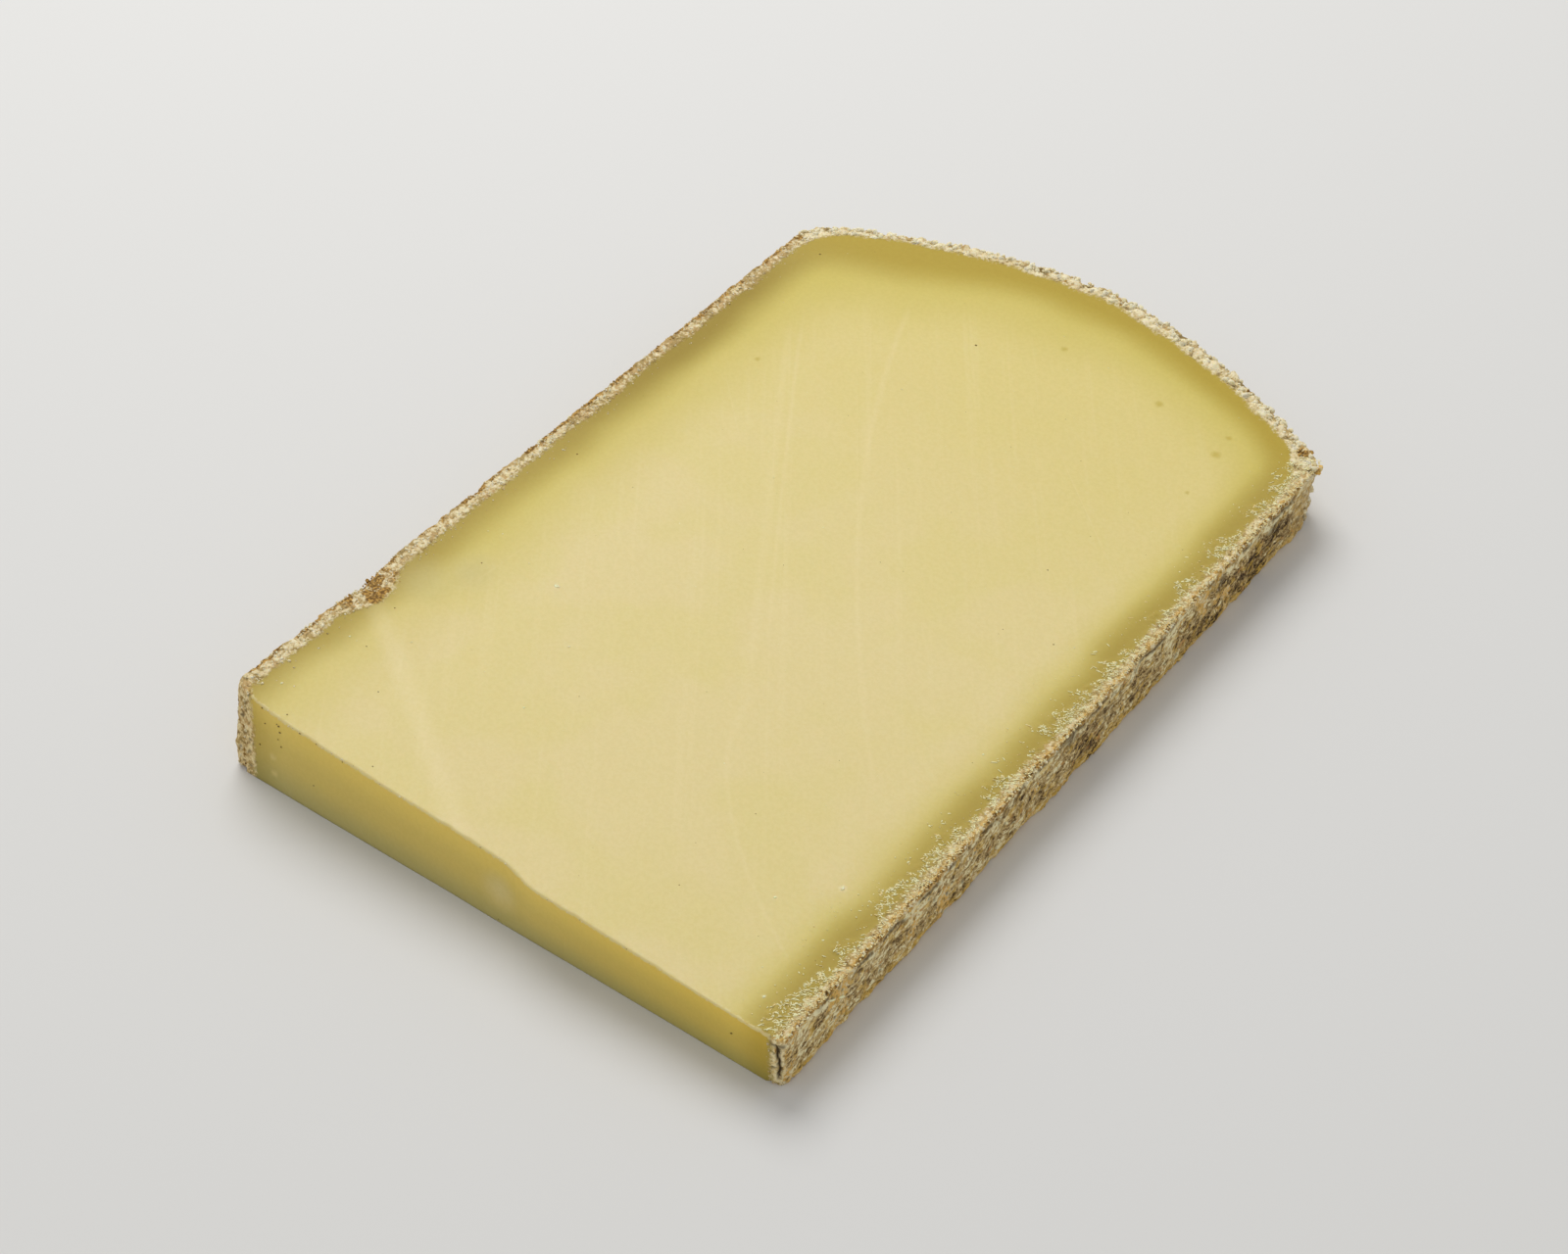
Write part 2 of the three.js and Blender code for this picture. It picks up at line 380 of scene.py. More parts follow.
def edge_crack(along, z, top):
    """The crack down the front edge of the thin side: a groove that stops short of both cuts and wanders
    by the sum of two noises, each with a reach, a length and a row of its own."""
    wander = sum(
        reach * (hills(z / length, row + 0 * z) - 0.5) for reach, length, row in EDGE_CRACK_WANDER)
    groove = bump(along - along_front_right - EDGE_CRACK_INSET - wander, EDGE_CRACK_HALF_WIDTH)
    stop_from, stop_to = EDGE_CRACK_STOP
    return groove * smooth(z, *EDGE_CRACK_START) * (1 - smooth(z, top - stop_from, top - stop_to))


def crust_hollow(x, y, out_y, along, z, top):
    """How far the crust's surface lies inside the nominal outline."""
    heelward = heel_share(y)
    relief = SIDE_RELIEF + (HEEL_RELIEF - SIDE_RELIEF) * heelward
    hollow = relief * (0.5 - crags(along, z))
    hollow = hollow - grit_height(x + 0 * z, y + 0 * z, z)
    pressed = FIBRE_RELIEF * (0.5 - fibre_ridges(along, z))
    pressed = pressed + PIT_DEPTH * skin_pits(along, z) - FLAKE_RISE * skin_flakes(along, z)
    hollow = hollow + (1 - heelward) * pressed
    hollow += np.where(x < 0, SCAR_DEPTH * z / top * bump(y - SCAR_Y, SCAR_HALF_LENGTH), 0.0)
    hollow += np.where(x > 0, CRACK_DEPTH * bump(y - CRACK_Y, CRACK_HALF_WIDTH), 0.0)
    hollow += EDGE_CRACK_DEPTH * edge_crack(along, z, top)
    return crust_share(x, out_y) * hollow


# The heel's arch slopes, so a place lies this much nearer to it than the way along the slice.
HEEL_NEARNESS = 0.93


def rind_depth(x, y):
    """Distance in from the nearest rind. Near a heel corner the distances from the side and from the
    heel are joined by a quarter circle, so the corner is round."""
    from_side = WIDTH / 2 - np.abs(x)
    from_heel = HEEL_NEARNESS * (heel_line(x) - y)
    nearest = np.minimum(from_side, from_heel)
    round_corner = CORE_INSET - np.hypot(
        np.clip(CORE_INSET - from_side, 0.0, None), np.clip(CORE_INSET - from_heel, 0.0, None))
    return np.where(nearest > CORE_INSET, nearest, round_corner)


# The crust shows on the cut as a band with a ragged inner edge. It widens at the torn place and at the
# corners of the heel. On the thin side the knife dragged tongues of shreds in over the paste.
THICK_SIDE_BAND_WIDTH = 2.7
THIN_SIDE_BAND_WIDTH = 1.8
HEEL_BAND_WIDTH = 2.8
HEEL_BAND_LOSS = 0.8
BAND_WANDER = 0.9
BAND_WANDER_SIZE = 4.1
SCAR_BAND_GAIN = 2.8
FRONT_LEFT_GAIN = 1.9
FRONT_LEFT_REACH = 4.6
BACK_RIGHT_GAIN = 2.6
BACK_LEFT_GAIN = 1.2
BACK_CORNER_REACH = 6.5
SHRED_BEARING = math.radians(38)
TONGUE_SLANT = 0.75
TONGUE_SHORTEST = 2.2
TONGUE_GAIN = 2.7
TONGUE_SPACING = 3.3
TONGUE_WINDING = 1.6
TONGUE_WINDING_SIZE = 2.3
TONGUE_FRAY = 1.8
TONGUE_FRAY_SIZE = 0.8


def crust_margin(x, y):
    """Distance from the crust's inner edge, positive inside the crust: the band's width, which wanders
    and grows at the torn place and at the heel's corners, less the depth under the rind."""
    width = np.where(x > 0, THIN_SIDE_BAND_WIDTH, THICK_SIDE_BAND_WIDTH)
    width = width + (HEEL_BAND_WIDTH - HEEL_BAND_LOSS * smooth(-x, 12, 28) - width) * heel_share(y)
    width = width + BAND_WANDER * (hills(x / BAND_WANDER_SIZE + 3, y / BAND_WANDER_SIZE) - 0.5)
    width = width + np.where(x < 0, SCAR_BAND_GAIN * bump(y - SCAR_Y, SCAR_HALF_LENGTH + 1), 0.0)
    by_end = 1 - smooth(y - END_CUT, 1.0, FRONT_LEFT_REACH)
    width = width + np.where(x < 0, FRONT_LEFT_GAIN * by_end, 0.0)
    for corner, gain in ((back_right, BACK_RIGHT_GAIN), (back_left, BACK_LEFT_GAIN)):
        corner_x, corner_y = corner[len(corner) // 2]
        width = width + gain * bump(np.hypot(x - corner_x, y - corner_y), BACK_CORNER_REACH)
    return width - rind_depth(x, y)


def tongue_margin(x, y):
    """Distance from the front of the dragged tongues, positive inside them. They root on the thin side
    and lean towards the bare end, and their reach is noise along the rim."""
    inset = RIGHT - x
    winding = TONGUE_WINDING * (hills(x / TONGUE_WINDING_SIZE, y / TONGUE_WINDING_SIZE) - 0.5)
    root = y + TONGUE_SLANT * inset + winding
    reach = TONGUE_SHORTEST + TONGUE_GAIN * smooth(hills(root / TONGUE_SPACING, 3.0 + 0 * root), 0.25, 0.8)
    reach = reach + TONGUE_FRAY * (hills(x / TONGUE_FRAY_SIZE, y / TONGUE_FRAY_SIZE) - 0.5)
    return reach - inset


WALL_ROWS = 34
BAND_INSETS = np.concatenate([np.arange(0.28, 4.6, 0.3), [5.0, 5.8]])
RIM_FADE = 2.5
CUT_WAVE_SIZE = 21.0
CUT_WAVE_RELIEF = 0.1
END_WAVE_RELIEF = 0.12
END_WAVE_SIZES = (9.0, 6.0)
EDGE_NICK = 0.22
EDGE_NICK_SIZE = 2.1
EDGE_NICK_REACH = 0.5
RIM_SHARPNESS = 30
BAND_CRUMB_GAIN = 0.8
BAND_RISE = 0.05
TONGUE_RISE = 0.16
WISP_LENGTH = 1.5
WISP_WIDTH = 0.55
GRID_INSET_SHARE = 0.02
FOOT_RING_SHARE = 0.93


def wall_grid():
    """The sides: for each row a share of the height, for each column a place of the outline, moved in by
    the crust's hollows, by the worn foot and rim and the nicks of the end's edge, and back by the end's
    lean."""
    share = np.linspace(0.0, 1.0, WALL_ROWS + 1)[:, None]
    top = cut_height(column_x, column_y)[None, :]
    z = share * top
    crust = crust_share(column_x, column_out_y)[None, :]
    inset = crust_hollow(column_x, column_y, column_out_y, column_along, z, top)
    wave_across, wave_up = END_WAVE_SIZES
    inset = inset + (1 - crust) * END_WAVE_RELIEF * (hills(column_x / wave_across, z / wave_up) - 0.5)
    nicks = smooth(hills(column_x / EDGE_NICK_SIZE, 5.0 + 0 * column_x), 0.45, 0.95)
    inset = inset + (1 - crust) * EDGE_NICK * nicks * np.exp((z - top) / EDGE_NICK_REACH)
    inset = inset + crust * FOOT_INSET * np.exp(-z / FOOT_REACH)
    inset = inset + (0.3 + 0.7 * crust) * RIM_INSET * np.exp((z - top) / RIM_REACH)
    x = column_x - inset * column_out_x
    y = lean_back(x, column_y - inset * column_out_y, share)
    height = share * (cut_height(x, y) - (0.4 + 0.6 * crust) * RIM_DROP * share ** RIM_SHARPNESS)
    return np.stack([x, y, height], axis=-1), inset


def cut_lift(x, y):
    """How far the cut's surface lies above its plane: crumbs on the crust's band, slanting wisps on the
    tongues of the thin side, and faint waves on the paste."""
    crumbly = smooth(crust_margin(x, y), -0.4, 0.6)
    crumbs = BAND_CRUMB_GAIN * grit_height(x, y, cut_height(x, y)) + BAND_RISE
    waves = CUT_WAVE_RELIEF * (hills(x / CUT_WAVE_SIZE, y / CUT_WAVE_SIZE) - 0.5)
    along = (x * math.cos(SHRED_BEARING) + y * math.sin(SHRED_BEARING)) / WISP_LENGTH
    across = (y * math.cos(SHRED_BEARING) - x * math.sin(SHRED_BEARING)) / WISP_WIDTH
    tongues = smooth(tongue_margin(x, y), -0.2, 0.8) * (1 - heel_share(y))
    return crumbly * crumbs + (1 - crumbly) * waves + TONGUE_RISE * tongues * (0.3 + hills(along, across))


def band_grid(rim_inset):
    """The rim of the upper cut: rows drawn in from the walls by fixed steps. The walls' hollows die
    away inwards."""
    insets = BAND_INSETS[:, None] + rim_inset * np.exp(-BAND_INSETS[:, None] / RIM_FADE)
    x = column_x - insets * band_out_x
    y = lean_back(x, column_y - insets * band_out_y, 1.0)
    return np.stack([x, y, cut_height(x, y) + cut_lift(x, y)], axis=-1)


# The grid's border takes every second column of the bare end and every fourth of the other sides.
border_anchor = np.concatenate([
    END_RATIO * np.arange(GRID_ACROSS),
    end_columns + CRUST_RATIO * np.arange(GRID_ALONG + GRID_ACROSS + GRID_ALONG),
])
grid_i = np.arange(GRID_ACROSS + 1)
grid_j = np.arange(GRID_ALONG + 1)
border_i = np.concatenate([
    grid_i[:-1], np.full(GRID_ALONG, GRID_ACROSS), grid_i[:0:-1], np.zeros(GRID_ALONG, int)])
border_j = np.concatenate([
    np.zeros(GRID_ACROSS, int), grid_j[:-1], np.full(GRID_ACROSS, GRID_ALONG), grid_j[:0:-1]])


def cut_grid(inmost):
    """The middle of the upper cut, a patch spanned between four curved sides: the blend of the two side
    curves, plus the blend of the two end curves, less the blend of the four corners."""
    plan = np.zeros((GRID_ALONG + 1, GRID_ACROSS + 1, 2))
    plan[border_j, border_i] = inmost[border_anchor, :2] * (1 - GRID_INSET_SHARE)
    u = (grid_i / GRID_ACROSS)[None, :, None]
    v = (grid_j / GRID_ALONG)[:, None, None]
    between_ends = (1 - v) * plan[:1] + v * plan[-1:]
    between_sides = (1 - u) * plan[:, :1] + u * plan[:, -1:]
    corners = (
        (1 - u) * (1 - v) * plan[0, 0] + u * (1 - v) * plan[0, -1]
        + (1 - u) * v * plan[-1, 0] + u * v * plan[-1, -1])
    x, y = np.moveaxis(between_ends + between_sides - corners, -1, 0)
    return np.stack([x, y, cut_height(x, y) + cut_lift(x, y)], axis=-1)


def ring_faces(start, rows, count):
    """Squares between neighbouring rows of a closed ring of columns, wound to face outwards."""
    row, column = np.meshgrid(np.arange(rows - 1), np.arange(count), indexing="ij")
    following = (column + 1) % count
    return start + np.stack([
        row * count + column, row * count + following,
        (row + 1) * count + following, (row + 1) * count + column,
    ], axis=-1).reshape(-1, 4)


def seam_faces(ring_start, grid_start, segments, ratio):
    """Faces that join the columns between two border points to the square of the grid inside them."""
    anchor = border_anchor[segments]
    following = (segments + 1) % len(border_anchor)
    inner = grid_start + border_j * (GRID_ACROSS + 1) + border_i
    outer = [ring_start + (anchor + step) % columns for step in range(ratio + 1)]
    return np.stack([*outer, inner[following], inner[segments]], axis=-1)


def grid_faces(start):
    """The squares of the cut's grid."""
    j, i = np.meshgrid(grid_j[:-1], grid_i[:-1], indexing="ij")
    corner = (start + j * (GRID_ACROSS + 1) + i).ravel()
    above = corner + GRID_ACROSS + 1
    return np.stack([corner, corner + 1, above + 1, above], axis=-1)


def make_mesh(name, points_mm, face_groups):
    """A mesh from points in millimetres and arrays of faces, each array with its own number of corners."""
    mesh = bpy.data.meshes.new(name)
    loops = np.concatenate([faces.ravel() for faces in face_groups])
    sizes = np.concatenate([np.full(len(faces), faces.shape[1]) for faces in face_groups])
    mesh.vertices.add(len(points_mm))
    mesh.vertices.foreach_set("co", (points_mm * MM).astype(np.float32).ravel())
    mesh.loops.add(len(loops))
    mesh.loops.foreach_set("vertex_index", loops.astype(np.int32))
    mesh.polygons.add(len(sizes))
    starts = np.concatenate([[0], np.cumsum(sizes)[:-1]])
    mesh.polygons.foreach_set("loop_start", starts.astype(np.int32))
    mesh.update(calc_edges=True)
    mesh.validate()
    mesh.polygons.foreach_set("use_smooth", np.ones(len(sizes), bool))
    return mesh


def add_piece(name, mesh, *materials):
    """An object at the origin that holds a finished mesh and its materials, and rides on the slice."""
    piece = bpy.data.objects.new(name, mesh)
    scene.collection.objects.link(piece)
    for material in materials:
        mesh.materials.append(material)
    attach(piece, "root")
    return piece


def set_mask(mesh, name, values):
    """A number for each vertex, which a material reads by its name."""
    attribute = mesh.attributes.new(name, "FLOAT", "POINT")
    attribute.data.foreach_set("value", np.asarray(values, np.float32).ravel())


wall, wall_inset = wall_grid()
band = band_grid(wall_inset[-1])
middle = cut_grid(band[-1])
foot_ring = wall[:1] * FOOT_RING_SHARE
rings = np.concatenate([foot_ring, wall, band])
rings_end = len(rings) * columns
slice_points = np.vstack([rings.reshape(-1, 3), middle.reshape(-1, 3), [(0.0, 0.0, 0.0)]])
foot_middle = len(slice_points) - 1
column_numbers = np.arange(columns)
segments = np.arange(len(border_anchor))
slice_faces = [
    np.stack([np.full(columns, foot_middle), np.roll(column_numbers, -1), column_numbers], axis=-1),
    ring_faces(0, len(rings), columns),
    seam_faces(rings_end - columns, rings_end, segments[:GRID_ACROSS], END_RATIO),
    seam_faces(rings_end - columns, rings_end, segments[GRID_ACROSS:], CRUST_RATIO),
    grid_faces(rings_end),
]
slice_mesh = make_mesh("cheese_slice", slice_points, slice_faces)

# Masks that the finishes read, worked out for every point of the mesh. A point is on the foot, on a
# wall or on the upper cut. Past the rim counts in over the cut, and below nought down the wall.
FOOT, WALL, CUT = 0, 1, 2
FAR_BELOW_RIM = -20.0
FAR_PAST_RIM = 9.0
THICK_SECTION_REACH = 2.6
THIN_SECTION_REACH = 0.7

point_x, point_y, point_z = slice_points.T
cut_level = cut_height(point_x, point_y)
middle_count = middle[..., 0].size
row_kind = np.concatenate([[FOOT], np.full(WALL_ROWS + 1, WALL), np.full(len(BAND_INSETS), CUT)])
point_kind = np.concatenate([np.repeat(row_kind, columns), np.full(middle_count, CUT), [FOOT]])
on_wall = point_kind == WALL
on_upper_cut = point_kind == CUT
share_up = np.where(on_wall, point_z / cut_level, np.where(on_upper_cut, 1.0, 0.0))
row_past_rim = np.concatenate([
    wall[..., 2] - wall[-1, :, 2], np.broadcast_to(BAND_INSETS[:, None], band.shape[:2])])
past_rim = np.concatenate([
    np.full(columns, FAR_BELOW_RIM), row_past_rim.ravel(), np.full(middle_count, FAR_PAST_RIM),
    [FAR_BELOW_RIM]])
end_face = np.zeros(len(slice_points))
end_face[on_wall] = np.tile(1 - crust_share(column_x, column_out_y), WALL_ROWS + 1)
section = np.zeros(len(slice_points))
section_reach = np.where(column_x < 0, THICK_SECTION_REACH, THIN_SECTION_REACH)
section[on_wall] = np.tile(smooth(END_CUT + section_reach - column_y, -0.5, 0.4), WALL_ROWS + 1)
point_along = np.concatenate([np.tile(column_along, len(rings)), np.zeros(middle_count + 1)])
point_heelward = heel_share(point_y)
on_thin_side = smooth(point_x, 20, 45) * (1 - point_heelward)
margin = crust_margin(point_x, point_y)
# The grit's height, which the crust finish turns into painted light on high grit and painted shade in its
# gaps.
grit = np.where(
    point_heelward > 0.5, packed_grit(point_x, point_y, point_z, HEEL_GRIT_SIZE),
    packed_grit(point_x, point_y, point_z, SIDE_GRIT_SIZE))
skin = on_wall * (1 - point_heelward)
ridges = skin * fibre_ridges(point_along, point_z)
pits = skin * skin_pits(point_along, point_z)
flakes = skin * skin_flakes(point_along, point_z)
tongues = smooth(tongue_margin(point_x, point_y), -0.5, 0.8) * on_thin_side * on_upper_cut

# The paste ripens to ochre under the rind, deepest under the heel. A paler gold reaches further in.
RIPE_FROM = {"left": (3.8, 11.4), "right": (3.2, 9.0), "heel": (5.0, 12.8)}
GOLD_FROM = {"left": (3.8, 25.0), "right": (3.2, 13.5), "heel": (5.0, 27.0)}
wander = 1.4 * (hills(point_x / 8.0, point_y / 8.0 + 4) - 0.5)
less_at_front = (0.8 * smooth(-point_y, -20, 25) + 0.6 * smooth(-point_y, 50, 70)) * (
    1 - end_face * (1 - smooth(share_up, 0.7, 1.0)))
heel_spread = 1 + 0.3 * smooth(-point_x, 8, 32) - 0.2 * smooth(point_x, -4, 18) * smooth(-point_x, -52, -36)


def ripened(reaches):
    """1 near the rinds and 0 far in: one less the product of what each of the three rinds leaves unripe.
    Under the heel the ochre is spread wider towards the thick side."""
    unripe = 1.0
    for side, depth in (
            ("left", point_x - LEFT + less_at_front), ("right", RIGHT - point_x),
            ("heel", HEEL_NEARNESS * (heel_line(point_x) - point_y) / heel_spread)):
        unripe = unripe * smooth(depth + wander, *reaches[side])
    return 1 - unripe


# Rust-brown skin: a line just inside the outer rim, most of the torn place, and a few spots.
RUST_SPOTS = ((49.4, 66.6, 1.7), (42.6, 71.6, 1.1), (34.0, 75.4, 0.9), (-52.2, 62.2, 1.5), (-52.6, 44.2, 1.9),
              (-52.6, 40.0, 1.7), (-52.6, 32.7, 2.3), (-52.2, 4.7, 1.6), (-52.6, -59.9, 1.8))
near_rim = smooth(past_rim, -2.2, -0.4)
thick_side_line = bump(past_rim - 0.55, 0.75) * (point_x < 0)
thin_side_line = bump(past_rim - 0.1, 0.55) * (point_x > 0)
rim_patches = smooth(hills(point_along / 2.6, 7.0 + 0 * point_along), 0.35, 0.7)
rust = (thick_side_line * (0.25 + 0.7 * rim_patches) + thin_side_line * (0.45 + 0.5 * rim_patches)) * (
    1 - 0.9 * point_heelward)
for spot_x, spot_y, spot_size in RUST_SPOTS:
    rust = np.maximum(rust, 1.3 * near_rim * bump(
        np.hypot(1.4 * (point_x - spot_x), point_y - spot_y), spot_size))
torn = np.where(point_x < 0, bump(point_y - SCAR_Y, SCAR_HALF_LENGTH + 1), 0) * smooth(margin, -0.4, 0.4)
torn = torn * smooth(past_rim, -4.0, -1.0)
rust = np.maximum(rust, 1.15 * torn * smooth(hills(point_x / 1.3, point_y / 1.3), 0.2, 0.5))

# Dark brown: painted shade on the crack floors, a painted shadow under the thin side's rim, darker pit
# floors, and dark patches.
DARK_PATCHES = ((-11.0, 9.8, 3.4), (-55.2, 8.4, 0.8), (33.0, 9.0, 2.0), (-30.0, 9.0, 1.6), (-2.0, 7.0, 2.4),
                (51.0, 8.0, 2.2))
# The line under the thin side's rim is a painted shadow.
rim_shadow_line = bump(past_rim + 0.55, 0.5) * smooth(hills(point_along / 2.3, 2.0 + 0 * point_along), 0.3, 0.6)
# Painted shade on the floors of the heel's crack and of the thin side's edge crack.
heel_crack = np.where(point_x > 0, bump(point_y - CRACK_Y, 0.7 * CRACK_HALF_WIDTH), 0) * on_wall
dark_and_shade = np.maximum(1.2 * edge_crack(point_along, point_z, cut_level) * on_wall, heel_crack)
dark_and_shade = np.maximum(dark_and_shade, 0.85 * rim_shadow_line * on_thin_side)
dark_and_shade = np.maximum(dark_and_shade, 0.75 * smooth(pits, 0.1, 0.8))
for patch_y, patch_z, patch_size in DARK_PATCHES:
    patch = bump(np.hypot(0.5 * (point_y - patch_y), point_z - patch_z), patch_size)
    dark_and_shade = np.maximum(dark_and_shade, 0.8 * patch * (point_x > RIGHT - 4) * on_wall * smooth(0.6 - ridges, -0.2, 0.3))


# How creamy the crumbs are: most on the heel, and white at the thick side's two corners.
def creaminess(x, y):
    """0.4 on the sides, a little less on the thin side and the thick side's far half, and more on the
    heel."""
    less = 0.13 * smooth(x, 20, 45) + 0.16 * smooth(-x, 10, 40) * smooth(y, -20, 20)
    return 0.4 + 0.16 * heel_share(y) - less * (1 - heel_share(y))


creamy = creaminess(point_x, point_y) - 0.25 * (1 - smooth(past_rim, 0.3, 1.1)) * (1 - on_thin_side)
creamy = creamy + (0.25 + 0.15 * smooth(point_x, 20, 45)) * section
for corner, gain in ((front_left, 0.4), (back_left, 0.3)):
    corner_x, corner_y = corner[len(corner) // 2]
    creamy = creamy + gain * smooth(past_rim, 0.0, 0.8) * bump(
        np.hypot(point_x - corner_x, point_y - corner_y), 5.0)

# Bloom: greyish smears on the paste, by the torn place and on the bare end.
BLOOM_ON_CUT = ((-45.0, -46.5, 7.0), (-41.0, -41.0, 6.0))
BLOOM_ON_END = ((1.5, 6.0, 4.5), (-44.3, 6.1, 0.9), (-44.1, 3.0, 0.8))
bloom = np.zeros(len(slice_points))
for spot_x, spot_y, spot_size in BLOOM_ON_CUT:
    bloom = np.maximum(
        bloom, on_upper_cut * bump(np.hypot(point_x - spot_x, point_y - spot_y), spot_size))
for spot_x, spot_z, spot_size in BLOOM_ON_END:
    bloom = np.maximum(bloom, end_face * bump(np.hypot(point_x - spot_x, point_z - spot_z), spot_size))

for mask_name, values in {
    "share_up": share_up,
    "end_face": end_face,
    "past_rim": past_rim,
    "crust_margin": margin,
    "heel_share": point_heelward,
    "thin_side": on_thin_side,
    "tongues": tongues,
    "ripe": ripened(RIPE_FROM),
    "gold": ripened(GOLD_FROM) * (1 - 0.3 * smooth(-point_y, 30, 60) * smooth(-point_x, 0, 30)),
    "mellow": smooth(point_y, -20, 75),
    "deep_ochre": smooth(-point_x, 5, 30) * smooth(point_y, -20, 20) * (1 - smooth(point_y, 42, 60)),
    "section": section,
    "thinward": smooth(point_x, 0, 50),
    "dusky": smooth(point_y, -22, 4) * (1 - smooth(share_up, 0.6, 0.9)) * smooth(
        hills(point_along / 9.0, point_z / 7.0), 0.15, 0.6) * (1 - bump(point_y - 17, 10)),
    "grit": grit,
    "flakes": flakes,
    "rust": rust,
    "dark_and_shade": dark_and_shade,
    "creamy": creamy,
    "bloom": bloom,
}.items():
    set_mask(slice_mesh, mask_name, values)

# A map that unrolls the crust: along the outline, and up the wall then in over the rim.
unrolled_points = np.column_stack([point_along, past_rim + cut_level]) * MM
corner_vertex = np.zeros(len(slice_mesh.loops), np.int32)
face_starts = np.zeros(len(slice_mesh.polygons), np.int32)
face_sizes = np.zeros(len(slice_mesh.polygons), np.int32)
slice_mesh.loops.foreach_get("vertex_index", corner_vertex)
slice_mesh.polygons.foreach_get("loop_start", face_starts)
slice_mesh.polygons.foreach_get("loop_total", face_sizes)
corner_map = unrolled_points[corner_vertex]
face_high = np.repeat(np.maximum.reduceat(corner_map[:, 0], face_starts), face_sizes)
corner_map[face_high - corner_map[:, 0] > 0.5 * ROUND * MM, 0] += ROUND * MM
unrolled = slice_mesh.uv_layers.new(name="unrolled_crust")
unrolled.data.foreach_set("uv", corner_map.astype(np.float32).ravel())


def linear(red, green, blue, light=1.0):
    """The linear colour of a surface that looks like this screen colour, from 0 to 255, when the light
    on it has the given strength."""
    seen = np.array([red, green, blue]) / 255.0
    value = np.where(seen <= 0.04045, seen / 12.92, ((seen + 0.055) / 1.055) ** 2.4)
    return (*np.clip(value / light, 0, 0.95).tolist(), 1.0)


def feed(tree, node, socket, value):
    """Links another node's output into a socket, or sets it to a plain value."""
    target = node.inputs[socket]
    if isinstance(value, bpy.types.NodeSocket):
        tree.links.new(value, target)
    else:
        target.default_value = value


def reckon(tree, operation, a, b=0.0, c=0.0):
    """One sum on numbers that vary over the surface."""
    node = tree.nodes.new("ShaderNodeMath")
    node.operation = operation
    for k, value in enumerate((a, b, c)):
        feed(tree, node, k, value)
    return node.outputs[0]


def step_up(tree, value, low, high, reach=1.0, start=0.0):
    """The start value below low, the reach above high, smooth between."""
    node = tree.nodes.new("ShaderNodeMapRange")
    node.interpolation_type = "SMOOTHSTEP"
    for socket, number in (
            ("Value", value), ("From Min", low), ("From Max", high), ("To Min", start), ("To Max", reach)):
        feed(tree, node, socket, number)
    return node.outputs["Result"]


def blend_colours(tree, share, under, over, how="MIX"):
    """The under colour turning into the over colour as the share goes from 0 to 1."""
    node = tree.nodes.new("ShaderNodeMix")
    node.data_type = "RGBA"
    node.blend_type = how
    for k, value in ((0, share), (6, under), (7, over)):
        feed(tree, node, k, value)
    return node.outputs[2]


def read_mask(tree, name):
    """A number kept on the mesh."""
    node = tree.nodes.new("ShaderNodeAttribute")
    node.attribute_name = name
    return node.outputs["Fac"]


def object_place(tree):
    """The place on the piece, in metres."""
    return tree.nodes.new("ShaderNodeTexCoord").outputs["Object"]


def stretch(tree, vector, size_mm, turn=0.0):
    """A place divided by the size of a pattern's cell along each axis, after a turn about Z."""
    turned = tree.nodes.new("ShaderNodeVectorRotate")
    turned.rotation_type = "Z_AXIS"
    feed(tree, turned, "Vector", vector)
    turned.inputs["Angle"].default_value = turn
    node = tree.nodes.new("ShaderNodeVectorMath")
    node.operation = "MULTIPLY"
    feed(tree, node, 0, turned.outputs[0])
    node.inputs[1].default_value = [1.0 / (size * MM) for size in size_mm]
    return node.outputs[0]


def noise(tree, vector, detail=2.0, roughness=0.5):
    """Cloudy noise about 0.5, with one hill to each cell of the stretched place."""
    node = tree.nodes.new("ShaderNodeTexNoise")
    feed(tree, node, "Vector", vector)
    node.inputs["Scale"].default_value = 1.0
    node.inputs["Detail"].default_value = detail
    node.inputs["Roughness"].default_value = roughness
    return node.outputs["Fac"]


def warp(tree, vector, size, amount):
    """A stretched place shifted unevenly by noise of the given cell size, so that a pattern loses its
    evenness."""
    scaled = tree.nodes.new("ShaderNodeVectorMath")
    scaled.operation = "SCALE"
    feed(tree, scaled, 0, vector)
    scaled.inputs["Scale"].default_value = 1.0 / size
    node = tree.nodes.new("ShaderNodeTexNoise")
    feed(tree, node, "Vector", scaled.outputs[0])
    node.inputs["Scale"].default_value = 1.0
    node.inputs["Detail"].default_value = 1.0
    shifted = tree.nodes.new("ShaderNodeVectorMath")
    shifted.operation = "MULTIPLY_ADD"
    feed(tree, shifted, 0, node.outputs["Color"])
    shifted.inputs[1].default_value = (amount, amount, amount)
    feed(tree, shifted, 2, vector)
    return shifted.outputs[0]


def raise_surface(tree, surface, height, distance_mm, strength=1.0):
    """Fine relief by a bump, where the mesh is too coarse for it."""
    node = tree.nodes.new("ShaderNodeBump")
    node.inputs["Strength"].default_value = strength
    node.inputs["Distance"].default_value = distance_mm * MM
    feed(tree, node, "Height", height)
    tree.links.new(node.outputs[0], surface.inputs["Normal"])


def new_material(name):
    """An empty material: its tree, and the surface shader that its looks feed."""
    material = bpy.data.materials.new(name)
    material.use_nodes = True
    return material, material.node_tree, material.node_tree.nodes["Principled BSDF"]


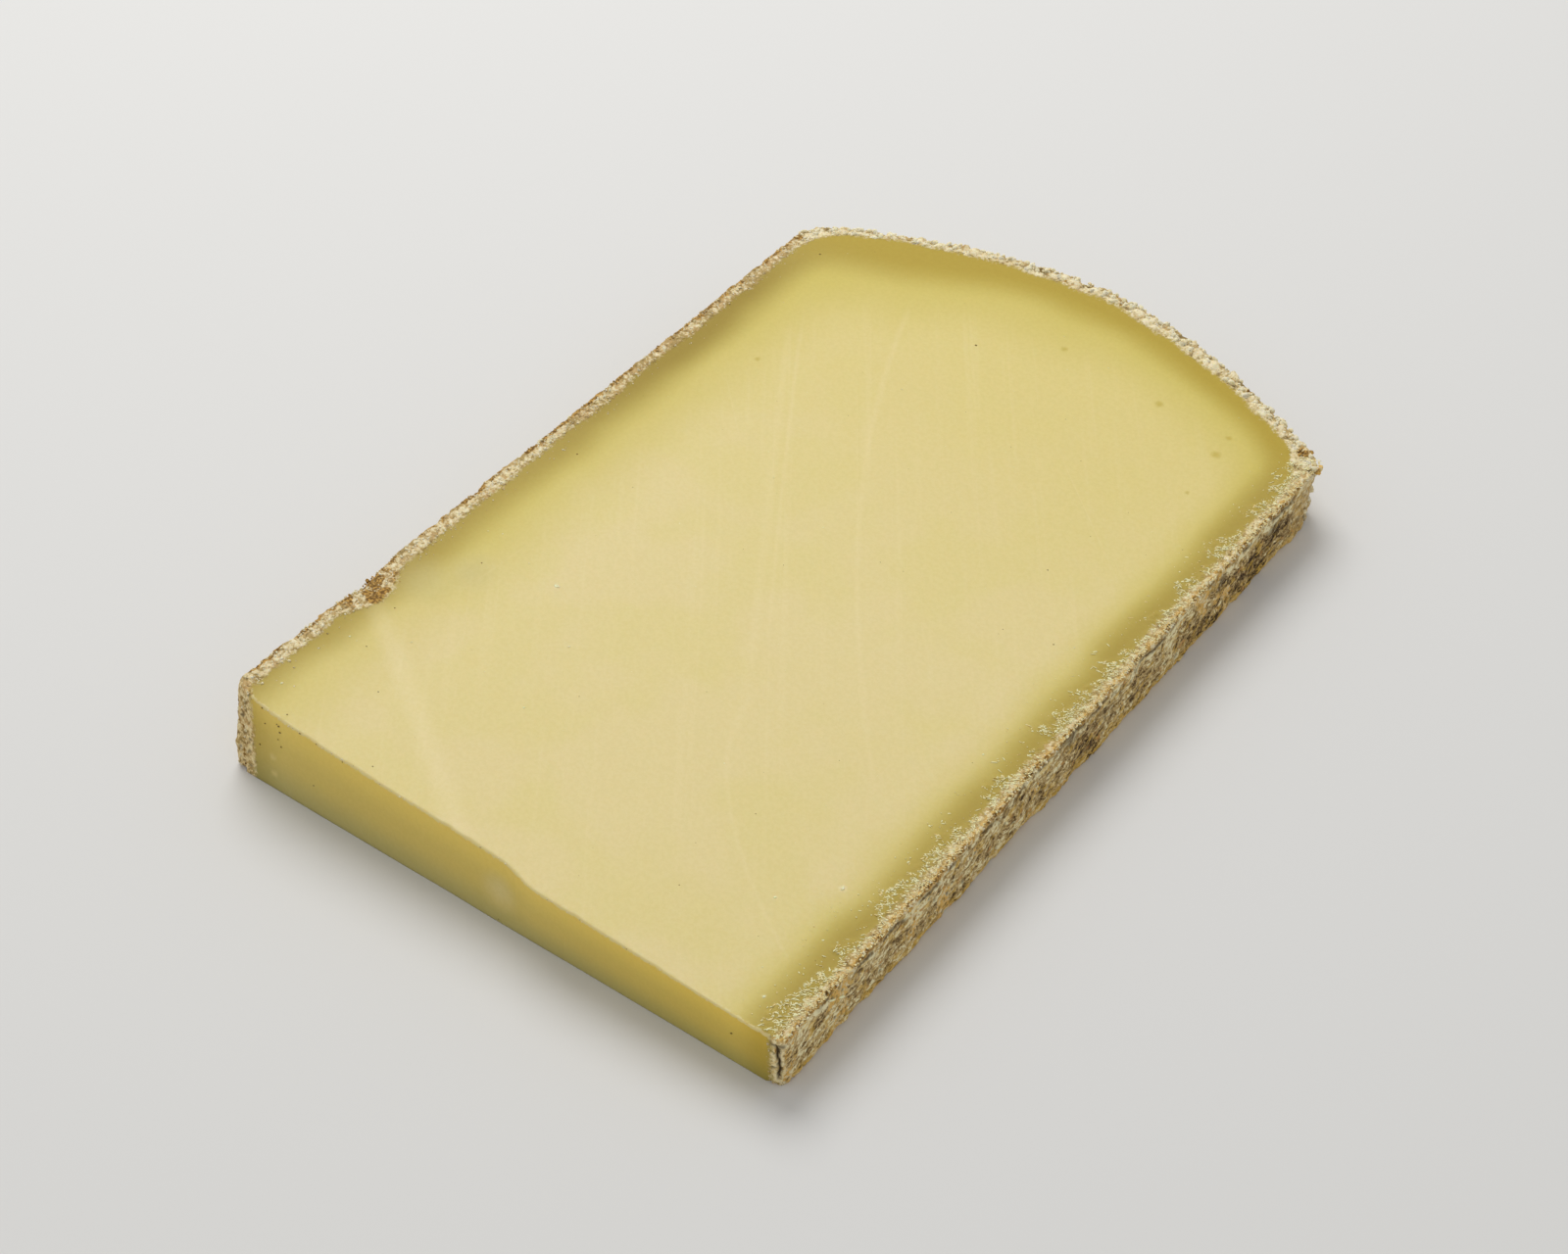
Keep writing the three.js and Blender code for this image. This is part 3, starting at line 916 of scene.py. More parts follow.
def new_group(name, takes, gives):
    """A shader node group with named number, colour or vector sockets."""
    kinds = {"number": "NodeSocketFloat", "colour": "NodeSocketColor", "vector": "NodeSocketVector"}
    group = bpy.data.node_groups.new(name, "ShaderNodeTree")
    for socket, kind in takes.items():
        group.interface.new_socket(socket, in_out="INPUT", socket_type=kinds[kind])
    for socket, kind in gives.items():
        group.interface.new_socket(socket, in_out="OUTPUT", socket_type=kinds[kind])
    return group, group.nodes.new("NodeGroupInput").outputs, group.nodes.new("NodeGroupOutput").inputs


def use_group(tree, group, **takes):
    """One use of a group, with its inputs fed by name."""
    node = tree.nodes.new("ShaderNodeGroup")
    node.node_tree = group
    for socket, value in takes.items():
        feed(tree, node, socket, value)
    return node.outputs


# Crumbly crust: tan to cream crumbs with cream-white flecks and brown dots, painted paler where the grit
# stands high and painted brown shade in its low gaps, rusty and dark where the masks say. Paste and rind
# both take it, so that they run into each other without a line.
CUT_LIGHT = 0.92
CREAM = linear(224, 206, 160, CUT_LIGHT)
CREAM_WHITE = linear(240, 228, 192, CUT_LIGHT)
TAN = linear(176, 150, 96, CUT_LIGHT)
PINK_TAN = linear(196, 165, 112, CUT_LIGHT)
GOLDEN_TAN = linear(220, 178, 98, CUT_LIGHT)
GAP_SHADE_AND_DOT_BROWN = linear(122, 102, 62, CUT_LIGHT)
RUST = linear(202, 158, 82, CUT_LIGHT)
RUST_DEEP = linear(116, 86, 42, CUT_LIGHT)
DARK_AND_SHADE_BROWN = linear(66, 50, 28, CUT_LIGHT)
SECTION_TINT = (1.04, 0.985, 0.85, 1.0)

crumb_group, takes, gives = new_group(
    "crumbly_crust",
    {"Place": "vector", "Grit": "number", "Creamy": "number", "Golden": "number", "Rust": "number",
     "Soot": "number", "Section": "number"},
    {"Colour": "colour", "Height": "number"})
tree = crumb_group
clouds = noise(tree, stretch(tree, takes["Place"], (3.5, 3.5, 3.5)), 1.0)
coarse = noise(tree, stretch(tree, takes["Place"], (1.2, 1.2, 1.2)), 3.0, 0.6)
fine = noise(tree, stretch(tree, takes["Place"], (0.42, 0.42, 0.42)), 3.0, 0.65)
dots = noise(tree, stretch(tree, takes["Place"], (0.4, 0.4, 0.4)), 1.0)
# Painted light: the crumbs grow paler where the grit stands high.
light_share = reckon(tree, "MULTIPLY_ADD", coarse, 0.9, reckon(tree, "MULTIPLY", takes["Grit"], 0.25))
light_share = reckon(tree, "MULTIPLY_ADD", fine, 0.7, light_share)
light_share = reckon(tree, "MULTIPLY_ADD", takes["Creamy"], 0.5, light_share)
tan = blend_colours(tree, step_up(tree, clouds, 0.42, 0.62), TAN, PINK_TAN)
tan = blend_colours(tree, takes["Golden"], tan, GOLDEN_TAN)
crumb_colour = blend_colours(tree, step_up(tree, light_share, 1.0, 1.14), tan, CREAM)
crumb_colour = blend_colours(tree, step_up(tree, light_share, 1.16, 1.3), crumb_colour, CREAM_WHITE)
# Painted shade: the low gaps between the grit turn brown, as do scattered brown dots.
gap_shade_share = reckon(tree, "MULTIPLY", step_up(tree, takes["Grit"], 0.3, 0.1), step_up(tree, coarse, 0.6, 0.4))
dot_and_gap_shade_share = reckon(
    tree, "MAXIMUM", reckon(tree, "MULTIPLY", gap_shade_share, 0.85), step_up(tree, dots, 0.64, 0.76, 0.7))
crumb_colour = blend_colours(tree, dot_and_gap_shade_share, crumb_colour, GAP_SHADE_AND_DOT_BROWN)
rust_colour = blend_colours(tree, step_up(tree, fine, 0.42, 0.62), RUST_DEEP, RUST)
rust_share = reckon(tree, "MULTIPLY", takes["Rust"], step_up(tree, coarse, 0.7, 0.45))
crumb_colour = blend_colours(tree, step_up(tree, rust_share, 0.2, 0.6), crumb_colour, rust_colour)
crumb_colour = blend_colours(tree, takes["Section"], crumb_colour, SECTION_TINT, "MULTIPLY")
# Dark brown for painted shade in the cracks and under the rim, and for dark patches.
crumb_colour = blend_colours(tree, takes["Soot"], crumb_colour, DARK_AND_SHADE_BROWN)
tree.links.new(crumb_colour, gives["Colour"])
tree.links.new(reckon(tree, "MULTIPLY_ADD", fine, 0.8, coarse), gives["Height"])

# A line left by the knife, in plan: x = start + slope y + bend y^2, with soft edges and soft ends.
LINE_FADE = 14.0

line_group, takes, gives = new_group(
    "knife_line",
    {"Place": "vector", "Start": "number", "Slope": "number", "Bend": "number", "Half Width": "number",
     "From": "number", "To": "number"},
    {"Mask": "number"})
tree = line_group
split = tree.nodes.new("ShaderNodeSeparateXYZ")
feed(tree, split, "Vector", takes["Place"])
place_x = reckon(tree, "DIVIDE", split.outputs["X"], MM)
place_y = reckon(tree, "DIVIDE", split.outputs["Y"], MM)
bent = reckon(tree, "MULTIPLY_ADD", takes["Bend"], place_y, takes["Slope"])
line_x = reckon(tree, "MULTIPLY_ADD", bent, place_y, takes["Start"])
off_line = reckon(tree, "ABSOLUTE", reckon(tree, "SUBTRACT", place_x, line_x))
across_line = step_up(tree, reckon(tree, "DIVIDE", off_line, takes["Half Width"]), 1.0, 0.0)
from_start = step_up(tree, reckon(tree, "SUBTRACT", place_y, takes["From"]), 0.0, LINE_FADE)
to_stop = step_up(tree, reckon(tree, "SUBTRACT", takes["To"], place_y), 0.0, LINE_FADE)
tree.links.new(
    reckon(tree, "MULTIPLY", across_line, reckon(tree, "MULTIPLY", from_start, to_stop)), gives["Mask"])

# A round spot on the cut: 1 in its middle, and soft at its edge, which noise makes uneven.
spot_group, takes, gives = new_group(
    "soft_spot", {"Place": "vector", "X": "number", "Y": "number", "Size": "number"}, {"Mask": "number"})
tree = spot_group
split = tree.nodes.new("ShaderNodeSeparateXYZ")
feed(tree, split, "Vector", takes["Place"])
off_x = reckon(tree, "SUBTRACT", reckon(tree, "DIVIDE", split.outputs["X"], MM), takes["X"])
off_y = reckon(tree, "SUBTRACT", reckon(tree, "DIVIDE", split.outputs["Y"], MM), takes["Y"])
off_spot = reckon(tree, "SQRT", reckon(
    tree, "MULTIPLY_ADD", off_x, off_x, reckon(tree, "MULTIPLY", off_y, off_y)))
uneven_edge = noise(tree, stretch(tree, takes["Place"], (0.5, 0.5, 0.5)), 1.0)
off_spot = reckon(tree, "DIVIDE", reckon(tree, "MULTIPLY_ADD", uneven_edge, 0.5, off_spot), takes["Size"])
tree.links.new(step_up(tree, off_spot, 1.5, 0.5), gives["Mask"])

# Paste: straw in the middle, ripening through gold to ochre under the rind. The bare end stands in its
# own shade, and its colour is a painted golden glow under its edge and painted shade towards its foot.
STRAW = linear(221, 205, 141, CUT_LIGHT)
STRAW_PINK = linear(223, 206, 148, CUT_LIGHT)
STRAW_MELLOW = linear(218, 201, 128, CUT_LIGHT)
GOLD = linear(204, 187, 95, CUT_LIGHT)
OCHRE = linear(173, 151, 66, CUT_LIGHT)
DEEP_OCHRE = linear(158, 135, 49, CUT_LIGHT)
HEEL_OCHRE = linear(179, 155, 57, CUT_LIGHT)
OLIVE_SPOT = linear(186, 164, 60, CUT_LIGHT)
PALE_LINE = linear(238, 222, 178, CUT_LIGHT)
BLOOM = linear(196, 184, 130, CUT_LIGHT)
END_LIGHT = 0.6
# The bare end's top colour is a painted glow under its edge, and its foot colour is painted shade.
END_TOP_PAINTED_GLOW = linear(192, 168, 82, END_LIGHT)
END_MIDDLE = linear(174, 154, 80, END_LIGHT)
END_FOOT_PAINTED_SHADE = linear(150, 140, 86, END_LIGHT)
END_BLOOM = linear(178, 162, 104, END_LIGHT)
RIPE_TINT = (0.78, 0.74, 0.52, 1.0)
THINWARD_TINT = (0.99, 0.96, 0.74, 1.0)
# The pale colour of the painted highlight along the bare end's upper edge.
EDGE_HIGHLIGHT = linear(228, 213, 158, CUT_LIGHT)
FILM_PALE = linear(222, 199, 122, CUT_LIGHT)
HALO_SPOTS = ((36.9, -63.9, 0.5), (43.5, -56.7, 0.8), (46.2, -78.8, 0.5), (-28.1, -34.7, 0.6))
KNIFE_LINES = (
    {"Start": -12.6, "Slope": -0.64, "Bend": 0.0, "Half Width": 1.5, "From": -40.0, "To": 70.0},
    {"Start": -10.2, "Slope": -0.65, "Bend": 0.0004, "Half Width": 0.7, "From": -30.0, "To": 60.0},
    {"Start": 5.4, "Slope": -0.689, "Bend": 0.0029, "Half Width": 1.0, "From": -44.0, "To": 72.0},
    {"Start": 33.9, "Slope": 1.439, "Bend": 0.02224, "Half Width": 1.0, "From": -84.0, "To": -26.0},
)
DRAG_STREAK = {"Start": -131.2, "Slope": -1.52, "Bend": 0.0, "Half Width": 5.6, "From": -96.0, "To": -48.0}
SCRATCHES = (
    {"Start": -15.5, "Slope": -1.02, "Bend": 0.0, "Half Width": 0.3, "From": 5.0, "To": 33.0},
    {"Start": 66.3, "Slope": -1.187, "Bend": 0.0, "Half Width": 0.28, "From": 17.0, "To": 48.0},
    {"Start": -35.4, "Slope": 0.083, "Bend": 0.0, "Half Width": 0.25, "From": -50.0, "To": -20.0},
)
OLIVE_SPOTS = ((23.6, 62.7, 0.9), (37.9, 57.4, 1.0), (3.0, 65.0, 0.8), (37.5, 62.4, 0.7), (39.0, 46.2, 0.6),
               (-37.2, 29.6, 0.7))
WIRE_SIZES = (1.3, 70, 9)
WIRE_BEARING = math.radians(-36)
WIRE_SHARE = 0.18
LINE_SHARE = 0.24
STREAK_SHARE = 0.5
MOTTLE_DULL = (0.98, 0.975, 0.94, 1)
MOTTLE_BRIGHT = (1.015, 1.015, 1.03, 1)


def spots_mask(tree, place, spots):
    """1 in the middle of every spot and 0 between them: the largest of the spots' own masks."""
    strongest = 0.0
    for spot_x, spot_y, spot_size in spots:
        mask = use_group(tree, spot_group, Place=place, X=spot_x, Y=spot_y, Size=spot_size)["Mask"]
        strongest = reckon(tree, "MAXIMUM", mask, strongest)
    return strongest


def crust_crumbs(tree, place):
    """The crumbly crust as the slice's masks shape it, and how near a place of the cut is to the outer
    rim, where the thin side's crumbs are golden."""
    near_outer = step_up(tree, read_mask(tree, "past_rim"), 1.3, 0.2)
    golden = reckon(tree, "MULTIPLY", read_mask(tree, "thin_side"), near_outer)
    return near_outer, use_group(
        tree, crumb_group, Place=place, Grit=read_mask(tree, "grit"), Creamy=read_mask(tree, "creamy"),
        Golden=golden, Rust=read_mask(tree, "rust"), Soot=read_mask(tree, "dark_and_shade"),
        Section=read_mask(tree, "section"))


paste, tree, surface = new_material("paste")
place = object_place(tree)
cloud = noise(tree, stretch(tree, place, (17, 17, 17)), 2.0)
paste_colour = blend_colours(tree, step_up(tree, cloud, 0.4, 0.6), STRAW, STRAW_PINK)
paste_colour = blend_colours(tree, read_mask(tree, "mellow"), paste_colour, STRAW_MELLOW)
paste_colour = blend_colours(tree, read_mask(tree, "gold"), paste_colour, GOLD)
ochre = blend_colours(tree, read_mask(tree, "heel_share"), OCHRE, HEEL_OCHRE)
ochre = blend_colours(tree, read_mask(tree, "deep_ochre"), ochre, DEEP_OCHRE)
paste_colour = blend_colours(tree, read_mask(tree, "ripe"), paste_colour, ochre)
paste_colour = blend_colours(
    tree, reckon(tree, "MULTIPLY", read_mask(tree, "bloom"), 0.4), paste_colour, BLOOM)
spotty = reckon(tree, "MULTIPLY", spots_mask(tree, place, OLIVE_SPOTS), 0.6)
paste_colour = blend_colours(tree, spotty, paste_colour, OLIVE_SPOT)
halo = reckon(tree, "MULTIPLY", spots_mask(tree, place, HALO_SPOTS), 0.6)
paste_colour = blend_colours(tree, halo, paste_colour, PALE_LINE)
wire = noise(tree, stretch(tree, place, WIRE_SIZES, WIRE_BEARING), 2.0, 0.6)
lines = step_up(tree, wire, 0.5, 0.75, WIRE_SHARE)
for line in KNIFE_LINES + SCRATCHES:
    mask = use_group(tree, line_group, Place=place, **line)["Mask"]
    lines = reckon(tree, "MULTIPLY_ADD", mask, LINE_SHARE, lines)
lines = reckon(tree, "MULTIPLY", lines, step_up(tree, read_mask(tree, "gold"), 0.7, 0.1))
streak = use_group(tree, line_group, Place=place, **DRAG_STREAK)["Mask"]
lines = reckon(tree, "MULTIPLY_ADD", streak, STREAK_SHARE, lines)
paste_colour = blend_colours(tree, reckon(tree, "MULTIPLY", lines, 0.5), paste_colour, PALE_LINE)
mottle = noise(tree, stretch(tree, place, (0.7, 0.7, 0.7)), 4.0, 0.7)
mottle_tint = blend_colours(tree, step_up(tree, mottle, 0.35, 0.65), MOTTLE_DULL, MOTTLE_BRIGHT)
paste_colour = blend_colours(tree, 1.0, paste_colour, mottle_tint, "MULTIPLY")

share = read_mask(tree, "share_up")
# The bare end's colour runs from painted shade at its foot to a painted golden glow under its edge.
end_colour_with_painted_shading = blend_colours(tree, step_up(tree, share, 0.0, 0.55), END_FOOT_PAINTED_SHADE, END_MIDDLE)
end_colour_with_painted_shading = blend_colours(tree, step_up(tree, share, 0.5, 1.0), end_colour_with_painted_shading, END_TOP_PAINTED_GLOW)
end_colour_with_painted_shading = blend_colours(tree, read_mask(tree, "thinward"), end_colour_with_painted_shading, THINWARD_TINT, "MULTIPLY")
end_colour_with_painted_shading = blend_colours(tree, read_mask(tree, "ripe"), end_colour_with_painted_shading, RIPE_TINT, "MULTIPLY")
end_colour_with_painted_shading = blend_colours(tree, read_mask(tree, "bloom"), end_colour_with_painted_shading, END_BLOOM)
end_colour_with_painted_shading = blend_colours(tree, 1.0, end_colour_with_painted_shading, mottle_tint, "MULTIPLY")
paste_colour = blend_colours(tree, read_mask(tree, "end_face"), paste_colour, end_colour_with_painted_shading)
# A pale ragged line along the bare end's upper edge: a painted highlight where the edge catches light.
edge_rag = noise(tree, stretch(tree, place, (0.8, 0.8, 0.8)), 3.0, 0.7)
past_edge = reckon(tree, "SUBTRACT", read_mask(tree, "past_rim"), 0.55)
past_edge = reckon(tree, "MULTIPLY_ADD", edge_rag, 1.1, past_edge)
edge_highlight = reckon(
    tree, "MULTIPLY", step_up(tree, past_edge, -0.45, -0.15), step_up(tree, past_edge, 0.5, 0.1))
by_end = step_up(tree, read_mask(tree, "crust_margin"), 0.2, -0.6, 0.75)
paste_colour = blend_colours(tree, reckon(tree, "MULTIPLY", edge_highlight, by_end), paste_colour, EDGE_HIGHLIGHT)

# The crust's ragged inner edge, and the pale film that the shreds leave between them.
ragged = noise(tree, stretch(tree, place, (0.7, 0.7, 0.7)), 3.0, 0.65)
margin_ragged = reckon(
    tree, "MULTIPLY_ADD", ragged, 2.6, reckon(tree, "SUBTRACT", read_mask(tree, "crust_margin"), 1.3))
crust_here = step_up(tree, margin_ragged, -0.7, 0.4)
wisp = noise(tree, stretch(tree, place, (0.6, 0.3, 0.8), -SHRED_BEARING), 3.0, 0.75)
film = reckon(tree, "MULTIPLY", read_mask(tree, "tongues"), step_up(tree, wisp, 0.48, 0.6, 0.15))
near_outer, crumbs = crust_crumbs(tree, place)
cut_colour = blend_colours(tree, crust_here, paste_colour, crumbs["Colour"])
inner_film = reckon(tree, "SUBTRACT", 1.0, reckon(tree, "MULTIPLY", near_outer, 0.7))
film_here = reckon(tree, "MULTIPLY", film, inner_film)
feed(tree, surface, "Base Color", blend_colours(tree, film_here, cut_colour, FILM_PALE))
feed(tree, surface, "Roughness", step_up(tree, crust_here, 0.0, 1.0, 0.85, 0.55))
surface.inputs["Specular IOR Level"].default_value = 0.2
surface.inputs["Subsurface Weight"].default_value = 0.2
surface.inputs["Subsurface Radius"].default_value = (1.0, 0.7, 0.3)
surface.inputs["Subsurface Scale"].default_value = 1.5 * MM
paste_height = reckon(tree, "MULTIPLY_ADD", lines, 0.2, reckon(tree, "MULTIPLY", mottle, 0.1))
crumb_height = reckon(tree, "MULTIPLY", crumbs["Height"], crust_here)
film_height = reckon(tree, "MULTIPLY_ADD", film, 0.8, crumb_height)
raise_surface(tree, surface, reckon(tree, "ADD", paste_height, film_height), 0.15, 0.8)

# Rind: a dry skin pressed by cloth and boards. On the long sides it is grey-brown with slanting cream
# flakes and dark pits, and on the heel and the cut it is crumbly.
SKIN_LIGHT = 0.6
SKIN_BEIGE = linear(160, 138, 93, SKIN_LIGHT)
SKIN_BROWN = linear(110, 89, 53, SKIN_LIGHT)
SKIN_CREAM = linear(206, 190, 152, SKIN_LIGHT)
SKIN_DARK = linear(48, 34, 18, SKIN_LIGHT)
SKIN_RUST = linear(160, 118, 64, SKIN_LIGHT)
SKIN_YELLOW = linear(184, 150, 66, SKIN_LIGHT)

rind, tree, surface = new_material("rind")
place = object_place(tree)
unrolled_node = tree.nodes.new("ShaderNodeUVMap")
unrolled_node.uv_map = "unrolled_crust"
skin_place = unrolled_node.outputs["UV"]
patches = noise(tree, stretch(tree, skin_place, (5.0, 3.0, 1), -FIBRE_TILT), 2.0)
streaks = noise(tree, warp(tree, stretch(tree, skin_place, (1.3, 0.8, 1), -FIBRE_TILT), 0.8, 0.5), 2.0, 0.6)
grains = noise(tree, stretch(tree, skin_place, (0.5, 0.34, 1), -FIBRE_TILT), 2.0, 0.6)
skin_share = reckon(tree, "MULTIPLY_ADD", grains, 1.0, streaks)
skin_share = reckon(tree, "MULTIPLY_ADD", patches, 0.6, skin_share)
skin_share = reckon(tree, "MULTIPLY_ADD", read_mask(tree, "flakes"), 0.2, skin_share)
skin_share = reckon(tree, "MULTIPLY_ADD", read_mask(tree, "dusky"), -0.2, skin_share)
height_share = read_mask(tree, "share_up")
skin_share = reckon(tree, "ADD", skin_share, step_up(tree, height_share, 0.72, 0.92, 0.12))
skin_colour = blend_colours(tree, step_up(tree, skin_share, 1.16, 1.3), SKIN_BROWN, SKIN_BEIGE)
foot_share = reckon(
    tree, "MULTIPLY", read_mask(tree, "thin_side"), step_up(tree, height_share, 0.28, 0.05, 0.7))
skin_colour = blend_colours(tree, foot_share, skin_colour, SKIN_YELLOW)
off_foot = step_up(tree, height_share, 0.0, 0.25, 1.0, 0.5)
cream_flecks = reckon(tree, "MULTIPLY", step_up(tree, skin_share, 1.36, 1.48), off_foot)
skin_colour = blend_colours(tree, cream_flecks, skin_colour, SKIN_CREAM)
skin_colour = blend_colours(tree, step_up(tree, skin_share, 1.14, 1.02), skin_colour, SKIN_DARK)
golden = noise(tree, stretch(tree, skin_place, (2.6, 1.0, 1), -FIBRE_TILT), 2.0)
skin_colour = blend_colours(tree, step_up(tree, golden, 0.52, 0.64, 0.5), skin_colour, SKIN_YELLOW)
rusty = noise(tree, stretch(tree, skin_place, (2.2, 1.4, 1), -FIBRE_TILT), 2.0)
skin_colour = blend_colours(tree, step_up(tree, rusty, 0.62, 0.72, 0.85), skin_colour, SKIN_RUST)
skin_colour = blend_colours(tree, step_up(tree, read_mask(tree, "rust"), 0.3, 0.9), skin_colour, SKIN_RUST)
# Dark skin for painted shade in the cracks and under the rim, and for dark patches.
skin_colour = blend_colours(tree, read_mask(tree, "dark_and_shade"), skin_colour, SKIN_DARK)
_, crumbs = crust_crumbs(tree, place)
on_cut = step_up(tree, read_mask(tree, "past_rim"), -0.5, 0.1)
crumbly = reckon(tree, "MAXIMUM", on_cut, read_mask(tree, "heel_share"))
crumbly = reckon(tree, "MAXIMUM", crumbly, read_mask(tree, "section"))
feed(tree, surface, "Base Color", blend_colours(tree, crumbly, skin_colour, crumbs["Colour"]))
surface.inputs["Roughness"].default_value = 0.85
surface.inputs["Specular IOR Level"].default_value = 0.25
skin_height = reckon(tree, "MULTIPLY_ADD", grains, 0.7, reckon(tree, "MULTIPLY", streaks, 1.3))
skin_height = reckon(tree, "MULTIPLY", skin_height, reckon(tree, "SUBTRACT", 1.0, crumbly))
crust_height = reckon(tree, "MULTIPLY_ADD", crumbs["Height"], crumbly, skin_height)
raise_surface(tree, surface, crust_height, 0.22, 0.9)

# Faces well inside the crust take the rind's finish, and the foot is a cut like the upper one.
RIND_MARGIN = 1.4
face_margin = np.add.reduceat(margin[corner_vertex], face_starts) / face_sizes
face_on_foot = np.minimum.reduceat(point_kind[corner_vertex], face_starts) == FOOT
face_is_rind = (face_margin > RIND_MARGIN) & ~face_on_foot
slice_mesh.polygons.foreach_set("material_index", face_is_rind.astype(np.int32))
cheese_slice = add_piece("cheese_slice", slice_mesh, paste, rind)
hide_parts("cheese")

# ---------------------------------------------------------------------------------------------
# Heel crumbs: the wheel's rim is built of plump cream crumbs, pressed together and half sunk in the
# crust. The knife left them standing proud along the heel's upper edge.
# ---------------------------------------------------------------------------------------------
HEEL_RIM_CRUMBS = 420
HEEL_RIM_INSETS = (-0.15, 2.3)
HEEL_RIM_SIZES = (0.25, 0.8)
HEEL_RIM_FLATNESS = np.array([1.0, 1.0, 0.8])
HEEL_RIM_SINK = 0.55
HEEL_RIM_DROP = 0.3
HEEL_FACE_CRUMBS = 600
HEEL_FACE_INSETS = (0.2, 0.9)
HEEL_FACE_HEIGHTS = (0.08, 0.94)
HEEL_FACE_SIZES = (0.4, 1.1)
HEEL_OVERLAP = 3
LUMP_WAVE = 1.9
FOOT_CLEARANCE = 0.02


def ball(rings, segments):
    """A unit ball on a grid: rings of points round it and a pole at each end, wound to face outwards."""
    down = np.pi * np.arange(1, rings) / rings
    east = 2 * np.pi * np.arange(segments) / segments
    x, y = np.outer(np.sin(down), np.cos(east)), np.outer(np.sin(down), np.sin(east))
    z = np.outer(np.cos(down), np.ones(segments))
    points = np.vstack([np.stack([x, y, z], axis=-1).reshape(-1, 3), [(0, 0, 1), (0, 0, -1)]])
    row, column = np.meshgrid(np.arange(rings - 2), np.arange(segments), indexing="ij")
    following = (column + 1) % segments
    squares = np.stack([
        row * segments + column, (row + 1) * segments + column,
        (row + 1) * segments + following, row * segments + following], axis=-1).reshape(-1, 4)
    column, following = np.arange(segments), (np.arange(segments) + 1) % segments
    top, bottom = len(points) - 2, len(points) - 1
    last = (rings - 2) * segments
    caps = np.vstack([
        np.stack([np.full(segments, top), column, following], axis=-1),
        np.stack([np.full(segments, bottom), last + following, last + column], axis=-1)])
    return points, squares, caps


def turned(yaw, pitch, roll):
    """Turning matrices from arrays of angles: a roll about X, then a pitch about Y, then a yaw about Z."""
    zero, one = np.zeros_like(yaw), np.ones_like(yaw)
    about_z = np.stack([np.cos(yaw), -np.sin(yaw), zero, np.sin(yaw), np.cos(yaw), zero, zero, zero, one], -1)
    about_y = np.stack([
        np.cos(pitch), zero, np.sin(pitch), zero, one, zero, -np.sin(pitch), zero, np.cos(pitch)], -1)
    about_x = np.stack([
        one, zero, zero, zero, np.cos(roll), -np.sin(roll), zero, np.sin(roll), np.cos(roll)], -1)
    return about_z.reshape(-1, 3, 3) @ about_y.reshape(-1, 3, 3) @ about_x.reshape(-1, 3, 3)


def lumps_mesh(
        name, middles, half_sizes, turns, unevenness, draw, rings=4, segments=6,
        bow=0.0, broken=0.0, **masks):
    """Many uneven lumps in one mesh. Each is a ball pushed in and out by three waves of its own and by
    chance where it is broken, bowed sideways by the square of its length, stretched to its half-sizes,
    turned, and put in its place, or just above the foot. Each mask has a number for each lump, and the
    mask named dome tells the lumps' tops from their undersides, so that the crumb finish can paint
    light on the tops and shade beneath."""
    unit, squares, caps = ball(rings, segments)
    count = len(middles)
    waves = draw.normal(0, LUMP_WAVE, (count, 3, 3))
    phases = draw.uniform(0, 2 * np.pi, (count, 1, 3))
    push = np.sin(np.einsum("pj,nkj->npk", unit, waves) + phases).sum(axis=-1, keepdims=True)
    chance = draw.normal(0, 1, (count, len(unit), 1)).clip(-2, 2)
    uneven = unit[None] * (1 + unevenness * push + broken * chance)
    bowed = uneven * half_sizes[:, None, :]
    bowed[..., 1] += bow * draw.normal(0, 1, (count, 1)) * half_sizes[:, :1] * (uneven[..., 0] ** 2 - 0.4)
    points = np.einsum("nij,nkj->nki", turns, bowed)
    dome = 0.5 + 0.5 * points[..., 2] / (np.abs(points[..., 2]).max(axis=1, keepdims=True) + 1e-6)
    points = points + middles[:, None]
    points[..., 2] += np.clip(FOOT_CLEARANCE - points[..., 2].min(axis=1, keepdims=True), 0, None)
    first = (np.arange(count) * len(unit))[:, None, None]
    mesh = make_mesh(name, points.reshape(-1, 3), [
        (first + squares[None]).reshape(-1, 4), (first + caps[None]).reshape(-1, 3)])
    set_mask(mesh, "dome", dome)
    for mask, values in masks.items():
        set_mask(mesh, mask, np.repeat(values, len(unit)))
    return mesh


def any_turns(draw, count):
    """Turns every way."""
    return turned(*(draw.uniform(0, 2 * np.pi, count) for _ in range(3)))


def crumb_sizes(draw, count, smallest, largest):
    """Three half-sizes for each crumb, with many more small crumbs than large ones."""
    size = smallest + (largest - smallest) * draw.random(count) ** 2
    return size[:, None] * draw.uniform(0.7, 1.25, (count, 3))


crumb_finish, tree, surface = new_material("crumb")
place = object_place(tree)
# The dome mask feeds the grit: painted light on the crumbs' tops and painted brown shade beneath them.
crumbs = use_group(
    tree, crumb_group, Place=place, Grit=reckon(tree, "MULTIPLY", read_mask(tree, "dome"), 0.9),
    Creamy=read_mask(tree, "creamy"), Golden=read_mask(tree, "golden"), Rust=read_mask(tree, "rust"),
    Soot=0.0, Section=0.0)
feed(tree, surface, "Base Color", crumbs["Colour"])
surface.inputs["Roughness"].default_value = 0.85
surface.inputs["Specular IOR Level"].default_value = 0.2
surface.inputs["Subsurface Weight"].default_value = 0.35
surface.inputs["Subsurface Radius"].default_value = (1.0, 0.8, 0.5)
surface.inputs["Subsurface Scale"].default_value = 0.8 * MM
raise_surface(tree, surface, crumbs["Height"], 0.14, 0.8)

